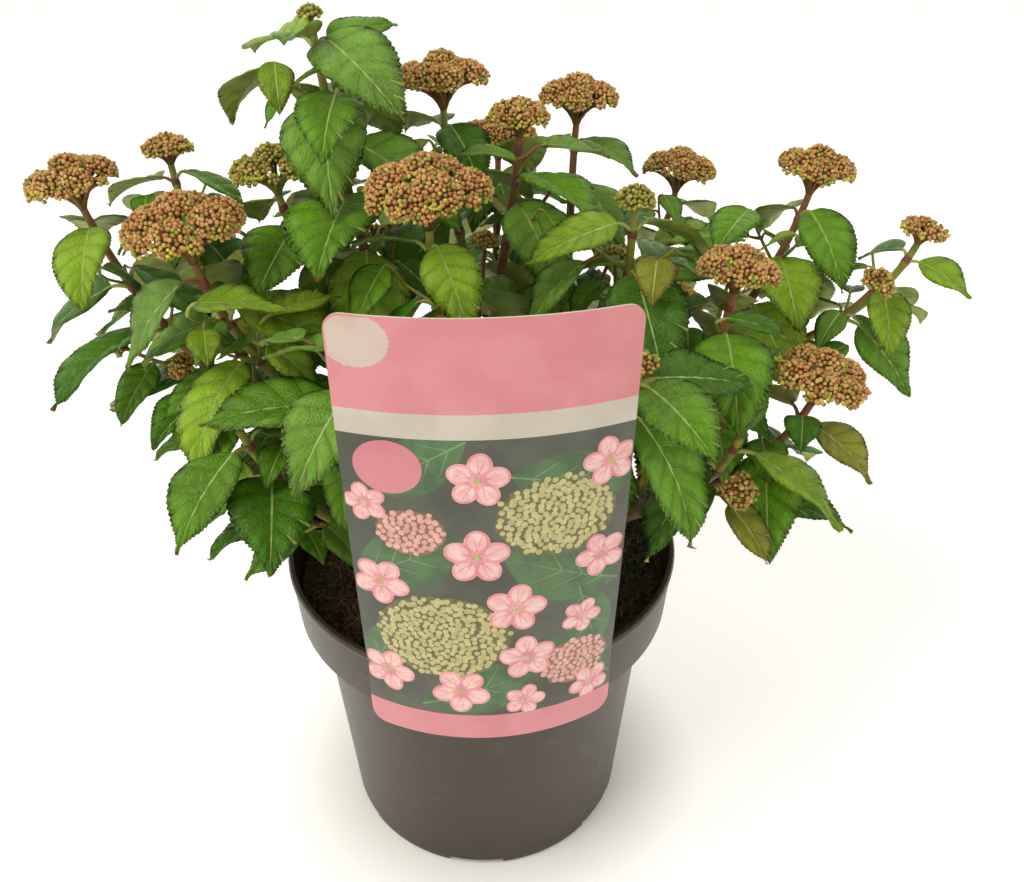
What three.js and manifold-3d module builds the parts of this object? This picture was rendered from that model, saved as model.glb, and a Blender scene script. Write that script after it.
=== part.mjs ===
// A young lacecap hydrangea in bud, in its black nursery pot, with a plant label hooked over the rim.
// Millimetres, +Z up. The origin is the centre of the pot's flat underside, and -Y is the label's side.
//
// Every shoot is one curve from the woody crown, or from another shoot's side, up to its flower head.
// Its bare foot is a tapering limb. The rest of it, with the leaves, side twigs and buds that grow
// there by one seeded rule, is a mass of foliage. A leaf that finds no room on its node is left out.
import * as THREE from "three";
import { OBB } from "three/addons/math/OBB.js";
import { mergeVertices } from "three/addons/utils/BufferGeometryUtils.js";
import Module from "manifold-3d";

const wasm = await Module();
wasm.setup();

// ---- Driving sizes ----

const gap = 0.3; // between two pieces that touch in the real plant

const pot = {
  rim: 95, // outer radius of the lip
  height: 163,
  bandFoot: 132, // height of the step under the rim band
  band: 94.2, // outer radius of the band under the lip
  bandTaper: 1.7, // by which the band is narrower at its foot
  step: 4, // height of the slope from the band's foot in to the body
  shoulder: 82.5, // outer radius of the body under the band
  base: 73.5, // outer radius at the ground
  wall: 1.8,
  floor: 3,
  sides: 40,
  drains: 6,
  drainTurn: -94, // degrees from +X to the first of them
};

const soil = { level: 145, mound: 3, sides: 24 };

const label = {
  width: 111,
  foot: 127, // height of its lower edge
  top: 330,
  footBend: 96.8, // bending radius at the rim, and below it
  topBend: 170, // bending radius at the top edge
  thickness: 0.7,
  corner: 7,
  turn: THREE.MathUtils.degToRad(3), // its middle stands this far round the rim
  hook: 18, // width of the tongue that hooks over the rim
};

const crownRadius = 16;

// Limb radii at the foot of a shoot from the crown, at the foot of a side shoot, and at a tip.
const limbFoot = 3.4;
const sideFoot = 2.6;
const limbTip = 1.7;
const twigFoot = 1.3;
const twigTip = 0.9;
const bareShare = 0.42; // of a shoot's length has no leaves

// Where each shoot grows from: the crown and the bearing in degrees of its foot, or a shoot, the share
// of its length and by how much the foot is let in against its flat sides. Where its head stands:
// bearing, distance from the pot's axis and height. Then the head's width; its pairs of leaves, their
// length and the first pair's turn in degrees; and its side twigs.
const columns = "name from at foot bearing reach height head pairs leaf turn sides".split(" ");
const shoots = [
  ["left_front", "", 0, -160, 179, 121, 330, 54, 5, 62, -10, 1],
  ["left_far", "", 0, 165, 163, 193, 330, 44, 5, 67, 30, 2],
  ["centre_front", "", 0, -80, 158, 22, 343, 56, 4, 62, 0, 1],
  ["right_upper", "", 0, 30, 27, 184, 324, 40, 5, 61, 1, 2],
  ["right_low", "", 0, -15, -9, 149, 270, 44, 4, 56, -35, 1],
  ["centre_back", "", 0, 75, 99, 111, 362, 48, 5, 60, 105, 1],
  ["right_back", "", 0, 10, 68, 134, 348, 42, 5, 56, -30, 1],
  ["left_tall", "", 0, 140, 136, 98, 394, 12, 6, 75, -4, 1],
  ["right_mid", "right_low", 0.35, 0.16, 1, 111, 308, 36, 4, 66, 25, 1],
  ["left_mid", "left_tall", 0.3, 3.85, 151, 105, 336, 38, 3, 54, 115, 1],
  ["left_back", "left_far", 0.38, 2.9, 145, 190, 326, 26, 4, 58, 30, 1],
  ["right_far", "right_upper", 0.35, 5.15, 15, 218, 301, 22, 4, 44, -45, 1],
  ["centre_mid", "centre_back", 0.3, 3.14, 77, 88, 348, 31, 4, 57, 30, 1],
  ["centre_right", "right_upper", 0.2, 0.58, 15, 70, 330, 20, 4, 67, 50, 1],
  ["low_left", "", 0, -145, -152, 108, 258, 0, 4, 62, -10, 1],
  ["low_right", "right_low", 0.28, 1.64, -24, 118, 250, 0, 3, 62, 40, 1],
  ["front_left", "low_left", 0.35, 0.12, -132, 67, 294, 0, 4, 58, 30, 1],
  ["front_right", "centre_front", 0.25, 1.16, -39, 83, 290, 14, 4, 62, 90, 0],
  ["back_left", "centre_back", 0.38, 1.8, 118, 170, 310, 40, 4, 56, 50, 1],
  ["back_far", "", 0, 88, 87, 185, 312, 46, 5, 64, 70, 1],
  ["back_right", "right_back", 0.38, 0.58, 55, 194, 300, 42, 4, 54, 0, 1],
].map((row, i) => ({
  ...Object.fromEntries(row.map((value, k) => [columns[k], value])),
  number: i + 1,
  twigs: [],
  heads: [],
  leaves: [],
}));

// ---- Colours and finishes ----

const finish = (color, roughness) => new THREE.MeshStandardMaterial({ color, roughness, metalness: 0 });
const finishes = {
  pot: finish("#3b3835", 0.5),
  soil: finish("#241a14", 1),
  label: finish("#e08a93", 0.35),
  wood: finish("#8a5a3c", 0.8),
  foliage: finish("#4b8a2c", 0.55),
};

// ---- Solids ----

const vec = (x, y, z) => new THREE.Vector3(x, y, z);
const up = vec(0, 0, 1);
const radians = THREE.MathUtils.degToRad;

/** A closed geometry as a solid that can be joined and cut. */
function solid(geometry) {
  const bare = geometry.index ? geometry.toNonIndexed() : geometry.clone();
  bare.deleteAttribute("normal");
  bare.deleteAttribute("uv");
  const { attributes, index } = mergeVertices(bare, 1e-3);
  const mesh = { numProp: 3, vertProperties: attributes.position.array, triVerts: new Uint32Array(index.array) };
  return new wasm.Manifold(new wasm.Mesh(mesh));
}

/** The faces that hang together with the most-used corner: the body without stray slivers. */
function mainShell({ vertProperties, triVerts }) {
  const group = Array.from({ length: vertProperties.length / 3 }, (_, i) => i);
  const root = (i) => {
    while (group[i] !== i) i = group[i] = group[group[i]];
    return i;
  };
  for (let i = 0; i < triVerts.length; i++) if (i % 3) group[root(triVerts[i])] = root(triVerts[i - 1]);
  const counts = new Map();
  triVerts.forEach((corner) => counts.set(root(corner), (counts.get(root(corner)) ?? 0) + 1));
  const [main] = [...counts].reduce((best, entry) => (entry[1] > best[1] ? entry : best));
  return triVerts.filter((corner) => root(corner) === main);
}

/** A solid as a named mesh. */
function node(name, body, material) {
  const asGeometry = (mesh, faces) =>
    new THREE.BufferGeometry()
      .setAttribute("position", new THREE.BufferAttribute(mesh.vertProperties, 3))
      .setIndex(new THREE.BufferAttribute(faces, 1));
  const rough = body.getMesh();
  const clean = solid(asGeometry(rough, rough.triVerts)).getMesh();
  const geometry = asGeometry(clean, mainShell(clean));
  geometry.computeVertexNormals();
  const shape = new THREE.Mesh(geometry, material);
  shape.name = name;
  return shape;
}

/** A closed skin over rings of points that run anticlockwise about the way they follow; one point is a tip. */
function skin(rings) {
  const faces = [];
  const cap = (ring, start, turn) => {
    for (let k = 1; k < ring.length - 1; k++) faces.push(start, start + k + (turn ? 1 : 0), start + k + (turn ? 0 : 1));
  };
  let start = 0;
  cap(rings[0], 0, true);
  rings.slice(1).forEach((next, i) => {
    const ring = rings[i];
    const after = start + ring.length;
    for (let k = 0; k < Math.max(ring.length, next.length); k++) {
      const [a, b] = [k, k + 1].map((j) => start + (j % ring.length));
      const [c, d] = [k, k + 1].map((j) => after + (j % next.length));
      if (a !== b) faces.push(a, b, d);
      if (c !== d) faces.push(a, d, c);
    }
    start = after;
  });
  cap(rings.at(-1), start, false);
  return solid(new THREE.BufferGeometry().setFromPoints(rings.flat()).setIndex(faces));
}

/** A profile of [radius, height] pairs, from the axis to the axis, turned about +Z. */
function turned(profile, sides) {
  const lathe = new THREE.LatheGeometry(profile.map(([r, z]) => new THREE.Vector2(r, z)), sides);
  return solid(lathe.rotateX(Math.PI / 2));
}

// ---- The pot, the soil in it and the label ----

/** The inner wall as [radius, height] pairs from the floor to the lip. */
const innerWall = [
  [pot.base - pot.wall, pot.floor],
  [pot.shoulder - pot.wall, pot.bandFoot - pot.step + pot.wall],
  [pot.band - pot.bandTaper - pot.wall, pot.bandFoot + pot.wall],
  [pot.band - pot.wall, pot.height],
];

/** The thin shell with its lip, its rim band and a ring of low drain gaps under its lower corner. */
function potBody() {
  const { rim, height, bandFoot, band, bandTaper, step, shoulder, base, floor, sides, drains, drainTurn } = pot;
  const lip = 3; // height of the thickened lip
  const outerWall = [
    [0, 0],
    [base - 1.5, 0],
    [base, 1.5],
    [shoulder, bandFoot - step],
    [band - bandTaper, bandFoot],
    [band, height - lip - 1],
    [rim, height - lip],
    [rim, height - 1],
    [rim - 0.8, height],
  ];
  let body = turned([...outerWall, ...[...innerWall].reverse(), [0, floor]], sides);
  for (let i = 0; i < drains; i++) {
    const angle = THREE.MathUtils.degToRad(drainTurn) + (i * 2 * Math.PI) / drains;
    const hole = new THREE.BoxGeometry(14, 28, 6).translate(base, 0, 1).rotateZ(angle);
    body = body.subtract(solid(hole));
  }
  return body;
}

/** The root ball: it fills the pot up to a slightly mounded surface. */
function soilBody() {
  const { level, mound, sides } = soil;
  const shrink = Math.cos(Math.PI / pot.sides);
  const wall = innerWall.slice(0, 3).map(([r, z]) => [r * shrink - gap, z + gap]);
  const edge = wall[2][0];
  const surface = [
    [edge, level - 2],
    [edge * 0.75, level],
    [crownRadius + 6, level + mound],
    [0, level + mound],
  ];
  return turned([[0, wall[0][1]], ...wall, ...surface], sides);
}

/** A point of the label's front, s along its curved width from the middle, at height z, moved inwards by depth. */
function labelPoint(s, z, depth = 0) {
  const share = Math.max(0, (z - pot.height) / (label.top - pot.height));
  const bend = label.footBend + (label.topBend - label.footBend) * share;
  const angle = s / bend;
  const point = vec((bend - depth) * Math.sin(angle), bend - label.footBend - (bend - depth) * Math.cos(angle), z);
  return point.applyAxisAngle(up, label.turn);
}

/** The bent card with round corners, and the tongue on its back that reaches over the rim into the pot. */
function labelBody() {
  const { width, foot, top, thickness, corner, hook } = label;
  const rows = [];
  const cornerSteps = 2;
  for (let i = 0; i <= cornerSteps; i++) {
    const turn = (i / cornerSteps) * (Math.PI / 2);
    rows.push([foot + corner * (1 - Math.cos(turn)), corner * (1 - Math.sin(turn))]);
  }
  rows.push([pot.height, 0], [(pot.height + top) / 2, 0]);
  for (let i = cornerSteps; i >= 0; i--) {
    const turn = (i / cornerSteps) * (Math.PI / 2);
    rows.push([top - corner * (1 - Math.cos(turn)), corner * (1 - Math.sin(turn))]);
  }
  const across = 6;
  const rings = rows.map(([z, inset]) => {
    const half = width / 2 - inset;
    const at = (k, depth) => labelPoint(half * ((2 * k) / across - 1), z, depth);
    const front = Array.from({ length: across + 1 }, (_, k) => at(k, 0));
    const back = Array.from({ length: across + 1 }, (_, k) => at(across - k, thickness));
    return [...front, ...back];
  });
  const bar = (depth, from, to, thick) => {
    const middle = labelPoint(0, 0, depth + thick / 2).setZ((from + to) / 2);
    return solid(new THREE.BoxGeometry(hook, thick, to - from).rotateZ(label.turn).translate(...middle));
  };
  const bridge = pot.height + 2; // the tongue's underside over the rim
  const inside = 8.4; // from the card's front to the tongue's inner face
  return skin(rings)
    .add(bar(0.5, bridge, bridge + 14, 1.2))
    .add(bar(0.5, bridge, bridge + 1.4, inside - 0.5))
    .add(bar(inside - 1.2, soil.level + 3, bridge + 1.4, 1.2));
}

const crownCentre = vec(0, 0, soil.level + soil.mound + gap);

/** The woody knuckle that all the shoots spring from, half a ball on the soil. */
function crownBody() {
  const ball = [0, 22, 44, 66].map((elevation) => {
    const angle = radians(elevation);
    return [crownRadius * Math.cos(angle), crownCentre.z + crownRadius * Math.sin(angle)];
  });
  return turned([[0, crownCentre.z], ...ball, [0, crownCentre.z + crownRadius]], 12);
}

// ---- The growth rule ----

/** A number from 0 to 1 that is always the same for the same shoot, place on it and question. */
function chance(shoot, place, question) {
  const wave = Math.sin(shoot * 127.1 + place * 311.7 + question * 74.7) * 43758.5453;
  return wave - Math.floor(wave);
}

/** A curve from a foot, along heading, to a tip, with a round section that tapers. */
function limbCurve(foot, heading, tip, arriving, footRadius, tipRadius) {
  const span = foot.distanceTo(tip);
  const curve = new THREE.CubicBezierCurve3(
    foot,
    foot.clone().addScaledVector(heading, span * 0.38),
    tip.clone().addScaledVector(arriving, span * -0.34),
    tip,
  );
  const side = up.clone().cross(tip.clone().sub(foot)).normalize();
  const frame = (t) => {
    const along = curve.getTangent(t);
    const across = side.clone().addScaledVector(along, -side.dot(along)).normalize();
    return { at: curve.getPoint(t), along, across, other: along.clone().cross(across) };
  };
  return { frame, length: curve.getLength(), radius: (t) => footRadius + (tipRadius - footRadius) * t };
}

/** The way from the limb's middle line outwards, at an angle round it. */
const outwards = ({ across, other }, angle) =>
  across.clone().multiplyScalar(Math.cos(angle)).addScaledVector(other, Math.sin(angle));

/** A round of points about a limb. */
function limbRing(limb, t, sides) {
  const frame = limb.frame(t);
  return Array.from({ length: sides }, (_, k) =>
    frame.at.clone().addScaledVector(outwards(frame, (2 * Math.PI * k) / sides), limb.radius(t)),
  );
}

/** The stretch of a limb from one share of its length to another. */
function limbBody(limb, from, to, sides, steps) {
  return skin(Array.from({ length: steps + 1 }, (_, i) => limbRing(limb, from + ((to - from) * i) / steps, sides)));
}

/** Where a shoot's limb starts and where it goes, bending upwards on the way. */
function growShoot(shoot, parent) {
  const compass = (bearing, reach, height) => vec(reach, 0, height).applyAxisAngle(up, radians(bearing));
  const top = compass(shoot.bearing, shoot.reach, shoot.height);
  const source = parent ? parent.limb.frame(shoot.at) : { at: crownCentre };
  const chord = top.clone().sub(source.at).normalize();
  const heading = chord.clone().addScaledVector(up, -0.2).normalize();
  const arriving = chord.clone().multiplyScalar(0.6).add(up).normalize();
  const footRadius = parent ? sideFoot : limbFoot;
  let clear = crownRadius + gap;
  if (parent) {
    heading.addScaledVector(source.along, 0.3).normalize();
    const slant = heading.angleTo(source.along);
    clear = (parent.limb.radius(shoot.at) + gap) / Math.sin(slant) + footRadius / Math.tan(slant) - shoot.foot;
  } else {
    const elevation = radians(chord.z > 0.76 ? 60 : 30); // steep shoots stand above the spreading ones
    heading.copy(compass(shoot.foot, Math.cos(elevation), Math.sin(elevation)));
  }
  const foot = source.at.clone().addScaledVector(heading, clear);
  shoot.top = top;
  shoot.axis = chord.clone().multiplyScalar(0.3).add(up).normalize();
  const hub = top.clone().addScaledVector(shoot.axis, -0.42 * shoot.head);
  shoot.limb = limbCurve(foot, heading, hub, arriving, footRadius, limbTip);
}

// ---- Room: every piece that a leaf must stay clear of, as turned boxes ----

const taken = [];
const clearance = 0.7;

/** The box round some points whose first two sides run along two directions. */
function boxAround(points, along, side) {
  const x = along.clone().normalize();
  const y = side.clone().addScaledVector(x, -side.dot(x)).normalize();
  const axes = [x, y, x.clone().cross(y)];
  const centre = vec(0, 0, 0);
  const half = axes.map((axis) => {
    const spread = points.map((p) => p.dot(axis));
    const [low, high] = [Math.min(...spread), Math.max(...spread)];
    centre.addScaledVector(axis, (low + high) / 2);
    return (high - low) / 2 + clearance;
  });
  const turn = new THREE.Matrix3().set(
    ...[0, 1, 2].flatMap((row) => axes.map((axis) => axis.getComponent(row))),
  );
  return new OBB(centre, vec(...half), turn);
}

const blocked = (boxes, owner) =>
  boxes.some((box) => taken.some((other) => (other.owner === undefined || other.owner !== owner) && other.box.intersectsOBB(box)));
const take = (boxes, owner) => boxes.forEach((box) => taken.push({ box, owner }));

/** Boxes along a limb. */
function limbBoxes(limb, steps) {
  return Array.from({ length: steps }, (_, i) => {
    const ends = [i / steps, (i + 1) / steps];
    const { along, across } = limb.frame((i + 0.5) / steps);
    return boxAround(ends.flatMap((t) => limbRing(limb, t, 4)), along, across);
  });
}

/** Boxes for the pot's band, the soil, the crown and the label. */
function takeFixtures() {
  const wedges = 16;
  for (let i = 0; i < wedges; i++) {
    const points = [-0.5, 0.5].flatMap((k) =>
      [pot.base, pot.rim].flatMap((r) => {
        const angle = ((i + k) * 2 * Math.PI) / wedges;
        const reach = r === pot.rim ? pot.rim / Math.cos(Math.PI / wedges) : pot.rim - 8;
        return [pot.height - 60, pot.height].map((z) => vec(reach * Math.cos(angle), reach * Math.sin(angle), z));
      }),
    );
    const middle = (i * 2 * Math.PI) / wedges;
    take([boxAround(points, up, vec(-Math.sin(middle), Math.cos(middle), 0))]);
  }
  const block = (half, low, high) => boxAround([vec(-half, -half, low), vec(half, half, high)], up, vec(1, 0, 0));
  take([block(pot.rim * 0.75, 0, crownCentre.z), block(crownRadius, 0, crownCentre.z + crownRadius)]);
  const strips = 5;
  for (let i = 0; i < strips; i++) {
    const points = [i, i + 0.5, i + 1].flatMap((k) =>
      [label.foot, pot.height, label.top].map((z) => labelPoint(label.width * (k / strips - 0.5), z, label.thickness)),
    );
    take([boxAround(points, up, labelPoint(label.width * ((i + 1) / strips - 0.5), 0).sub(labelPoint(label.width * (i / strips - 0.5), 0)))]);
  }
  const hook = [label.foot, pot.height + 20].flatMap((z) =>
    [-label.hook / 2, label.hook / 2].flatMap((s) => [labelPoint(s, z, 0), labelPoint(s, z, 9)]),
  );
  take([boxAround(hook, up, vec(1, 0, 0))]);
}

// ---- Leaves ----

/** Half the blade's width at a share of its length: egg-shaped, with a drawn-out tip. */
const bladeHalf = (u, width) => (width / 2 / 0.28) * u ** 0.7 * (1 - u) ** 1.25;

/** Where a leaf lies: its stalk, and a blade that droops and bends on from the stalk's end. */
function layLeaf({ at, along }, away, { length, droop, bend, twist }) {
  const stalk = away.clone().addScaledVector(along, 0.75).normalize();
  const ahead = away.clone().addScaledVector(along, 0.45).setZ(0).normalize();
  const midrib = ahead.clone().multiplyScalar(Math.cos(droop)).addScaledVector(up, -Math.sin(droop));
  const normal = up.clone().multiplyScalar(Math.cos(droop)).addScaledVector(ahead, Math.sin(droop));
  normal.applyAxisAngle(midrib, twist);
  const side = normal.clone().cross(midrib);
  const base = at.clone().addScaledVector(stalk, 0.2 * length);
  const leaf = { root: at, base, stalk, side, length, width: 0.6 * length, fold: 0.28 };
  leaf.frame = (u) => {
    const angle = bend * u;
    const middle = base
      .clone()
      .addScaledVector(midrib, (length * Math.sin(angle)) / bend)
      .addScaledVector(normal, (-length * (1 - Math.cos(angle))) / bend);
    const above = normal.clone().multiplyScalar(Math.cos(angle)).addScaledVector(midrib, Math.sin(angle));
    return { middle, above };
  };
  leaf.halfSide = (sign, above = leaf.frame(0.4).above) =>
    side.clone().multiplyScalar(sign * Math.cos(leaf.fold)).addScaledVector(above, Math.sin(leaf.fold));
  leaf.edge = (u, sign) => {
    const { middle, above } = leaf.frame(u);
    return middle.addScaledVector(leaf.halfSide(sign, above), bladeHalf(u, leaf.width));
  };
  return leaf;
}

/** The boxes that a leaf takes up: its stalk, and three stretches of each half of its blade. */
function leafBoxes(leaf) {
  const shares = [0, 0.33, 0.66, 1];
  const blade = [1, -1].flatMap((sign) =>
    [0, 1, 2].map((i) => {
      const spots = [shares[i], (shares[i] + shares[i + 1]) / 2, shares[i + 1]];
      const points = spots.flatMap((u) => [leaf.frame(u).middle, leaf.edge(u, sign)]);
      return boxAround(points, leaf.frame(spots[2]).middle.sub(leaf.frame(spots[0]).middle), leaf.halfSide(sign));
    }),
  );
  const stalk = boxAround([leaf.root.clone().addScaledVector(leaf.stalk, 3.5), leaf.base], leaf.stalk, leaf.side);
  return { stalk: [stalk], blade };
}

const halfStalk = 0.8;
const halfBlade = 0.5;

/** A leaf as a skin over diamond sections, its root on the twig's middle line. */
function leafBody(leaf) {
  const diamond = (middle, above, half, thick, lift) => [
    middle.clone().addScaledVector(leaf.side, half).addScaledVector(above, lift),
    middle.clone().addScaledVector(above, thick),
    middle.clone().addScaledVector(leaf.side, -half).addScaledVector(above, lift),
    middle.clone().addScaledVector(above, -thick),
  ];
  const start = leaf.frame(0);
  const rings = [
    diamond(leaf.root, start.above, halfStalk, halfStalk, 0),
    diamond(start.middle, start.above, halfStalk, halfStalk, 0),
  ];
  for (const u of [0.3, 0.68]) {
    const { middle, above } = leaf.frame(u);
    const half = 1.04 * bladeHalf(u, leaf.width);
    rings.push(diamond(middle, above, half * Math.cos(leaf.fold), halfBlade, half * Math.sin(leaf.fold)));
  }
  return skin([...rings, [leaf.frame(1).middle]]);
}

const yaws = [0, 20, -20, 40, -40, 60, -60].map(radians);
const droops = [0, -16, 16, -32, -48].map(radians);
const lowestTip = pot.height + 32; // leaves lift their tips over this height

/** The first way of hanging a leaf on its node that is clear of everything, a smaller one if need be, or none. */
function placeLeaf(frame, angle, shape, owner) {
  for (const size of [1, 0.8, 0.62])
    for (const more of droops)
      for (const yaw of yaws) {
        const hung = { ...shape, length: shape.length * size, droop: shape.droop + more };
        const leaf = layLeaf(frame, outwards(frame, angle + yaw), hung);
        const { stalk, blade } = leafBoxes(leaf);
        if (leaf.frame(1).middle.z > lowestTip && !blocked(blade) && !blocked(stalk, owner)) {
          take([...stalk, ...blade], owner);
          return [leaf];
        }
      }
  return [];
}

// ---- Flower heads ----

/** A point of a head, by its distance from the axis, its angle and its height over the dome's widest ring. */
function headPoint({ top, axis }, from, angle, height) {
  const side = up.clone().cross(axis).normalize();
  const other = axis.clone().cross(side);
  return top
    .clone()
    .addScaledVector(side, from * Math.cos(angle))
    .addScaledVector(other, from * Math.sin(angle))
    .addScaledVector(axis, height);
}

/** The boxes of a head: its dome, and the rays under it. */
function headBoxes(head) {
  const { hub, axis, width } = head;
  const side = up.clone().cross(axis).normalize();
  const disc = (from, height) => [0, 1, 2, 3].map((k) => headPoint(head, from, (k + 0.5) * (Math.PI / 2), height));
  return [
    boxAround([...disc(width * 0.64, width * 0.16), ...disc(width * 0.64, width * -0.12)], axis, side),
    boxAround([...disc(width * 0.3, width * -0.12), hub], axis, side),
  ];
}

/** A shallow lobed dome of buds, on ribs that spread from the end of its twig. */
function headBody(head) {
  const { hub, axis, width, turn } = head;
  if (width < 20) {
    const bud = new THREE.IcosahedronGeometry(width / 2, 0)
      .scale(1, 1, 0.75)
      .applyQuaternion(new THREE.Quaternion().setFromUnitVectors(up, axis));
    return solid(bud.translate(...headPoint(head, 0, 0, -0.1 * width)));
  }
  const lobes = 5;
  const foot = hub.clone().sub(head.top).dot(axis) / width;
  // Each ring is its height, and its radius at the ribs and between them, all as shares of the width.
  const rings = [
    [foot - 0.04, 1.3 / width, 1.1 / width],
    [foot * 0.55, 0.15, 0.05],
    [-0.13, 0.34, 0.28],
    [0, 0.5, 0.44],
    [0.13, 0.31, 0.29],
  ].map(([height, rib, between]) =>
    Array.from({ length: 2 * lobes }, (_, k) =>
      headPoint(head, (k % 2 ? between : rib) * width, (k * Math.PI) / lobes + turn, height * width),
    ),
  );
  return skin([...rings, [headPoint(head, 0, 0, 0.18 * width)]]);
}

// ---- Masses of foliage ----

/** The nodes of a shoot beyond its bare foot, as shares of its length, and the turn of each one's leaves. */
function nodesOf(shoot) {
  const first = bareShare + 9 / shoot.limb.length;
  return Array.from({ length: shoot.pairs }, (_, k) => ({
    t: first + ((0.99 - first) * k) / (shoot.pairs - 0.6),
    turn: radians(shoot.turn + 90 * k + 24 * (chance(shoot.number, k, 1) - 0.5)),
  }));
}

/** A side twig from one of the lower nodes, with its small head, in the first direction that has room. */
function growTwig(shoot, k) {
  const { t, turn } = nodesOf(shoot)[k];
  const frame = shoot.limb.frame(t);
  const place = 20 + 10 * k;
  const length = 34 + 16 * chance(shoot.number, k, 3);
  const width = 12 + 7 * chance(shoot.number, place, 4);
  const half = chance(shoot.number, k, 2) < 0.5 ? 0 : Math.PI;
  for (const yaw of [0, Math.PI, Math.PI / 2, -Math.PI / 2]) {
    const away = outwards(frame, turn + half + yaw);
    const heading = away.clone().multiplyScalar(0.6).addScaledVector(frame.along, 0.8).normalize();
    const axis = heading.clone().addScaledVector(up, 0.5).normalize();
    const tip = frame.at.clone().addScaledVector(heading, length * 0.6).addScaledVector(axis, length * 0.4);
    const limb = limbCurve(frame.at, heading, tip, axis, twigFoot, twigTip);
    const head = { top: tip.clone().addScaledVector(axis, width * 0.3), hub: tip, axis, width, turn: place };
    if (!blocked([...limbBoxes(limb, 2), ...headBoxes(head)], shoot.number)) {
      take([...limbBoxes(limb, 2), ...headBoxes(head)], shoot.number);
      shoot.twigs.push({ limb, place });
      shoot.heads.push(head);
      return;
    }
  }
}

/** The leaves of a shoot in their pairs, from the top pair down, then those of its side twigs. */
function growLeaves(shoot) {
  const { number, limb, pairs } = shoot;
  const any = (place, question, low, high) => low + (high - low) * chance(number, place, question);
  const nodes = nodesOf(shoot);
  for (let k = pairs - 1; k >= 0; k--)
    for (const side of [0, 1]) {
      const share = k / Math.max(1, pairs - 1);
      const length = shoot.leaf * (1 - 0.3 * share * share) * any(k, 5 + side, 0.9, 1.1);
      const droop = radians(38 - 26 * share + any(k, 7 + side, -10, 10));
      const shape = { length, droop, twist: radians(any(k, 9 + side, -18, 18)), bend: radians(any(k, 11 + side, 22, 42)) };
      const frame = limb.frame(nodes[k].t + (side - 0.5) / limb.length);
      shoot.leaves.push(...placeLeaf(frame, nodes[k].turn + side * Math.PI, shape, number));
    }
  for (const twig of shoot.twigs)
    for (const [k, t] of [0.55, 0.93].entries())
      for (const side of [0, 1]) {
        const place = twig.place + k;
        const length = shoot.leaf * any(place, 5 + side, 0.42, 0.64);
        const shape = { length, droop: radians(any(place, 7 + side, 16, 40)), twist: 0, bend: radians(30) };
        const angle = (k * Math.PI) / 2 + side * Math.PI + any(place, 1, 0, 2);
        const frame = twig.limb.frame(t + (side - 0.5) / twig.limb.length);
        shoot.leaves.push(...placeLeaf(frame, angle, shape, number));
      }
}

/** Everything that grows on a shoot beyond its bare foot, as one solid. */
function massBody({ limb, twigs, heads, leaves }) {
  const whole = [
    limbBody(limb, bareShare + gap / limb.length, 1, 3, 3),
    ...twigs.map((twig) => limbBody(twig.limb, 0, 1, 3, 2)),
    ...heads.map(headBody),
    ...leaves.map(leafBody),
  ];
  return whole.reduce((sum, piece) => sum.add(piece));
}

// ---- The whole plant ----

takeFixtures();
for (const shoot of shoots) {
  growShoot(shoot, shoots.find((other) => other.name === shoot.from));
  take(limbBoxes(shoot.limb, 8), shoot.number);
  if (shoot.head) {
    shoot.heads.push({ top: shoot.top, hub: shoot.limb.frame(1).at, axis: shoot.axis, width: shoot.head, turn: shoot.number });
    take(headBoxes(shoot.heads[0]));
  }
}
for (const shoot of shoots) for (let k = 0; k < shoot.sides; k++) growTwig(shoot, k);
for (const shoot of shoots) growLeaves(shoot);

const plant = new THREE.Group();
plant.add(node("pot", potBody(), finishes.pot));
plant.add(node("soil", soilBody(), finishes.soil));
plant.add(node("label", labelBody(), finishes.label));
plant.add(node("crown", crownBody(), finishes.wood));
for (const shoot of shoots) {
  plant.add(node(`stem_${shoot.name}`, limbBody(shoot.limb, 0, bareShare, 6, 3), finishes.wood));
  plant.add(node(`foliage_${shoot.name}`, massBody(shoot), finishes.foliage));
}

export default plant;
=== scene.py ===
"""A young lacecap hydrangea in bud, in its nursery pot: leaves, buds, bark, soil, pot and label.

The plant grows here by the same seeded rule as in the part's own source, in millimetres, +Z up,
with the origin at the centre of the pot's flat underside. A mesh is turned into metres as it is
made. Each shape is a function of one or two parameters, worked out as whole arrays.
"""
import math

import bpy
import numpy as np
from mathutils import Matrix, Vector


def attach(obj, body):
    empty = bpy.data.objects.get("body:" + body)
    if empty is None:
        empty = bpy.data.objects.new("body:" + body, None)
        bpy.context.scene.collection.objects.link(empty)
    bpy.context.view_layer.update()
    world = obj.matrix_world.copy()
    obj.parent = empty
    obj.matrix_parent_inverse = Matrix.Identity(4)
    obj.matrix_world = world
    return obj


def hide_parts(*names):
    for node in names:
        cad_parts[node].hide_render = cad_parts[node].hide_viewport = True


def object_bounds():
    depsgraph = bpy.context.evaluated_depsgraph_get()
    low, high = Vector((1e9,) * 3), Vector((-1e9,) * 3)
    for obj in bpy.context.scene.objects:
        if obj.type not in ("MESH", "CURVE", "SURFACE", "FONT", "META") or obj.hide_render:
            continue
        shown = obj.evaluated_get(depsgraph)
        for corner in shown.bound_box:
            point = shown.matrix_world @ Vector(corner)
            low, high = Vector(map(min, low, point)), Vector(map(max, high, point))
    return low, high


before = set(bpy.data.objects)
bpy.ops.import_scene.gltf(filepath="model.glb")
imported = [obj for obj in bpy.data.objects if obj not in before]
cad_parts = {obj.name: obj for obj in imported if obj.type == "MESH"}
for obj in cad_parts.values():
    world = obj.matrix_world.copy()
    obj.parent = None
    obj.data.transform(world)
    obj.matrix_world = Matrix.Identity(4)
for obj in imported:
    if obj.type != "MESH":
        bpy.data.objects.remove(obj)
cad_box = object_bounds()

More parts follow.
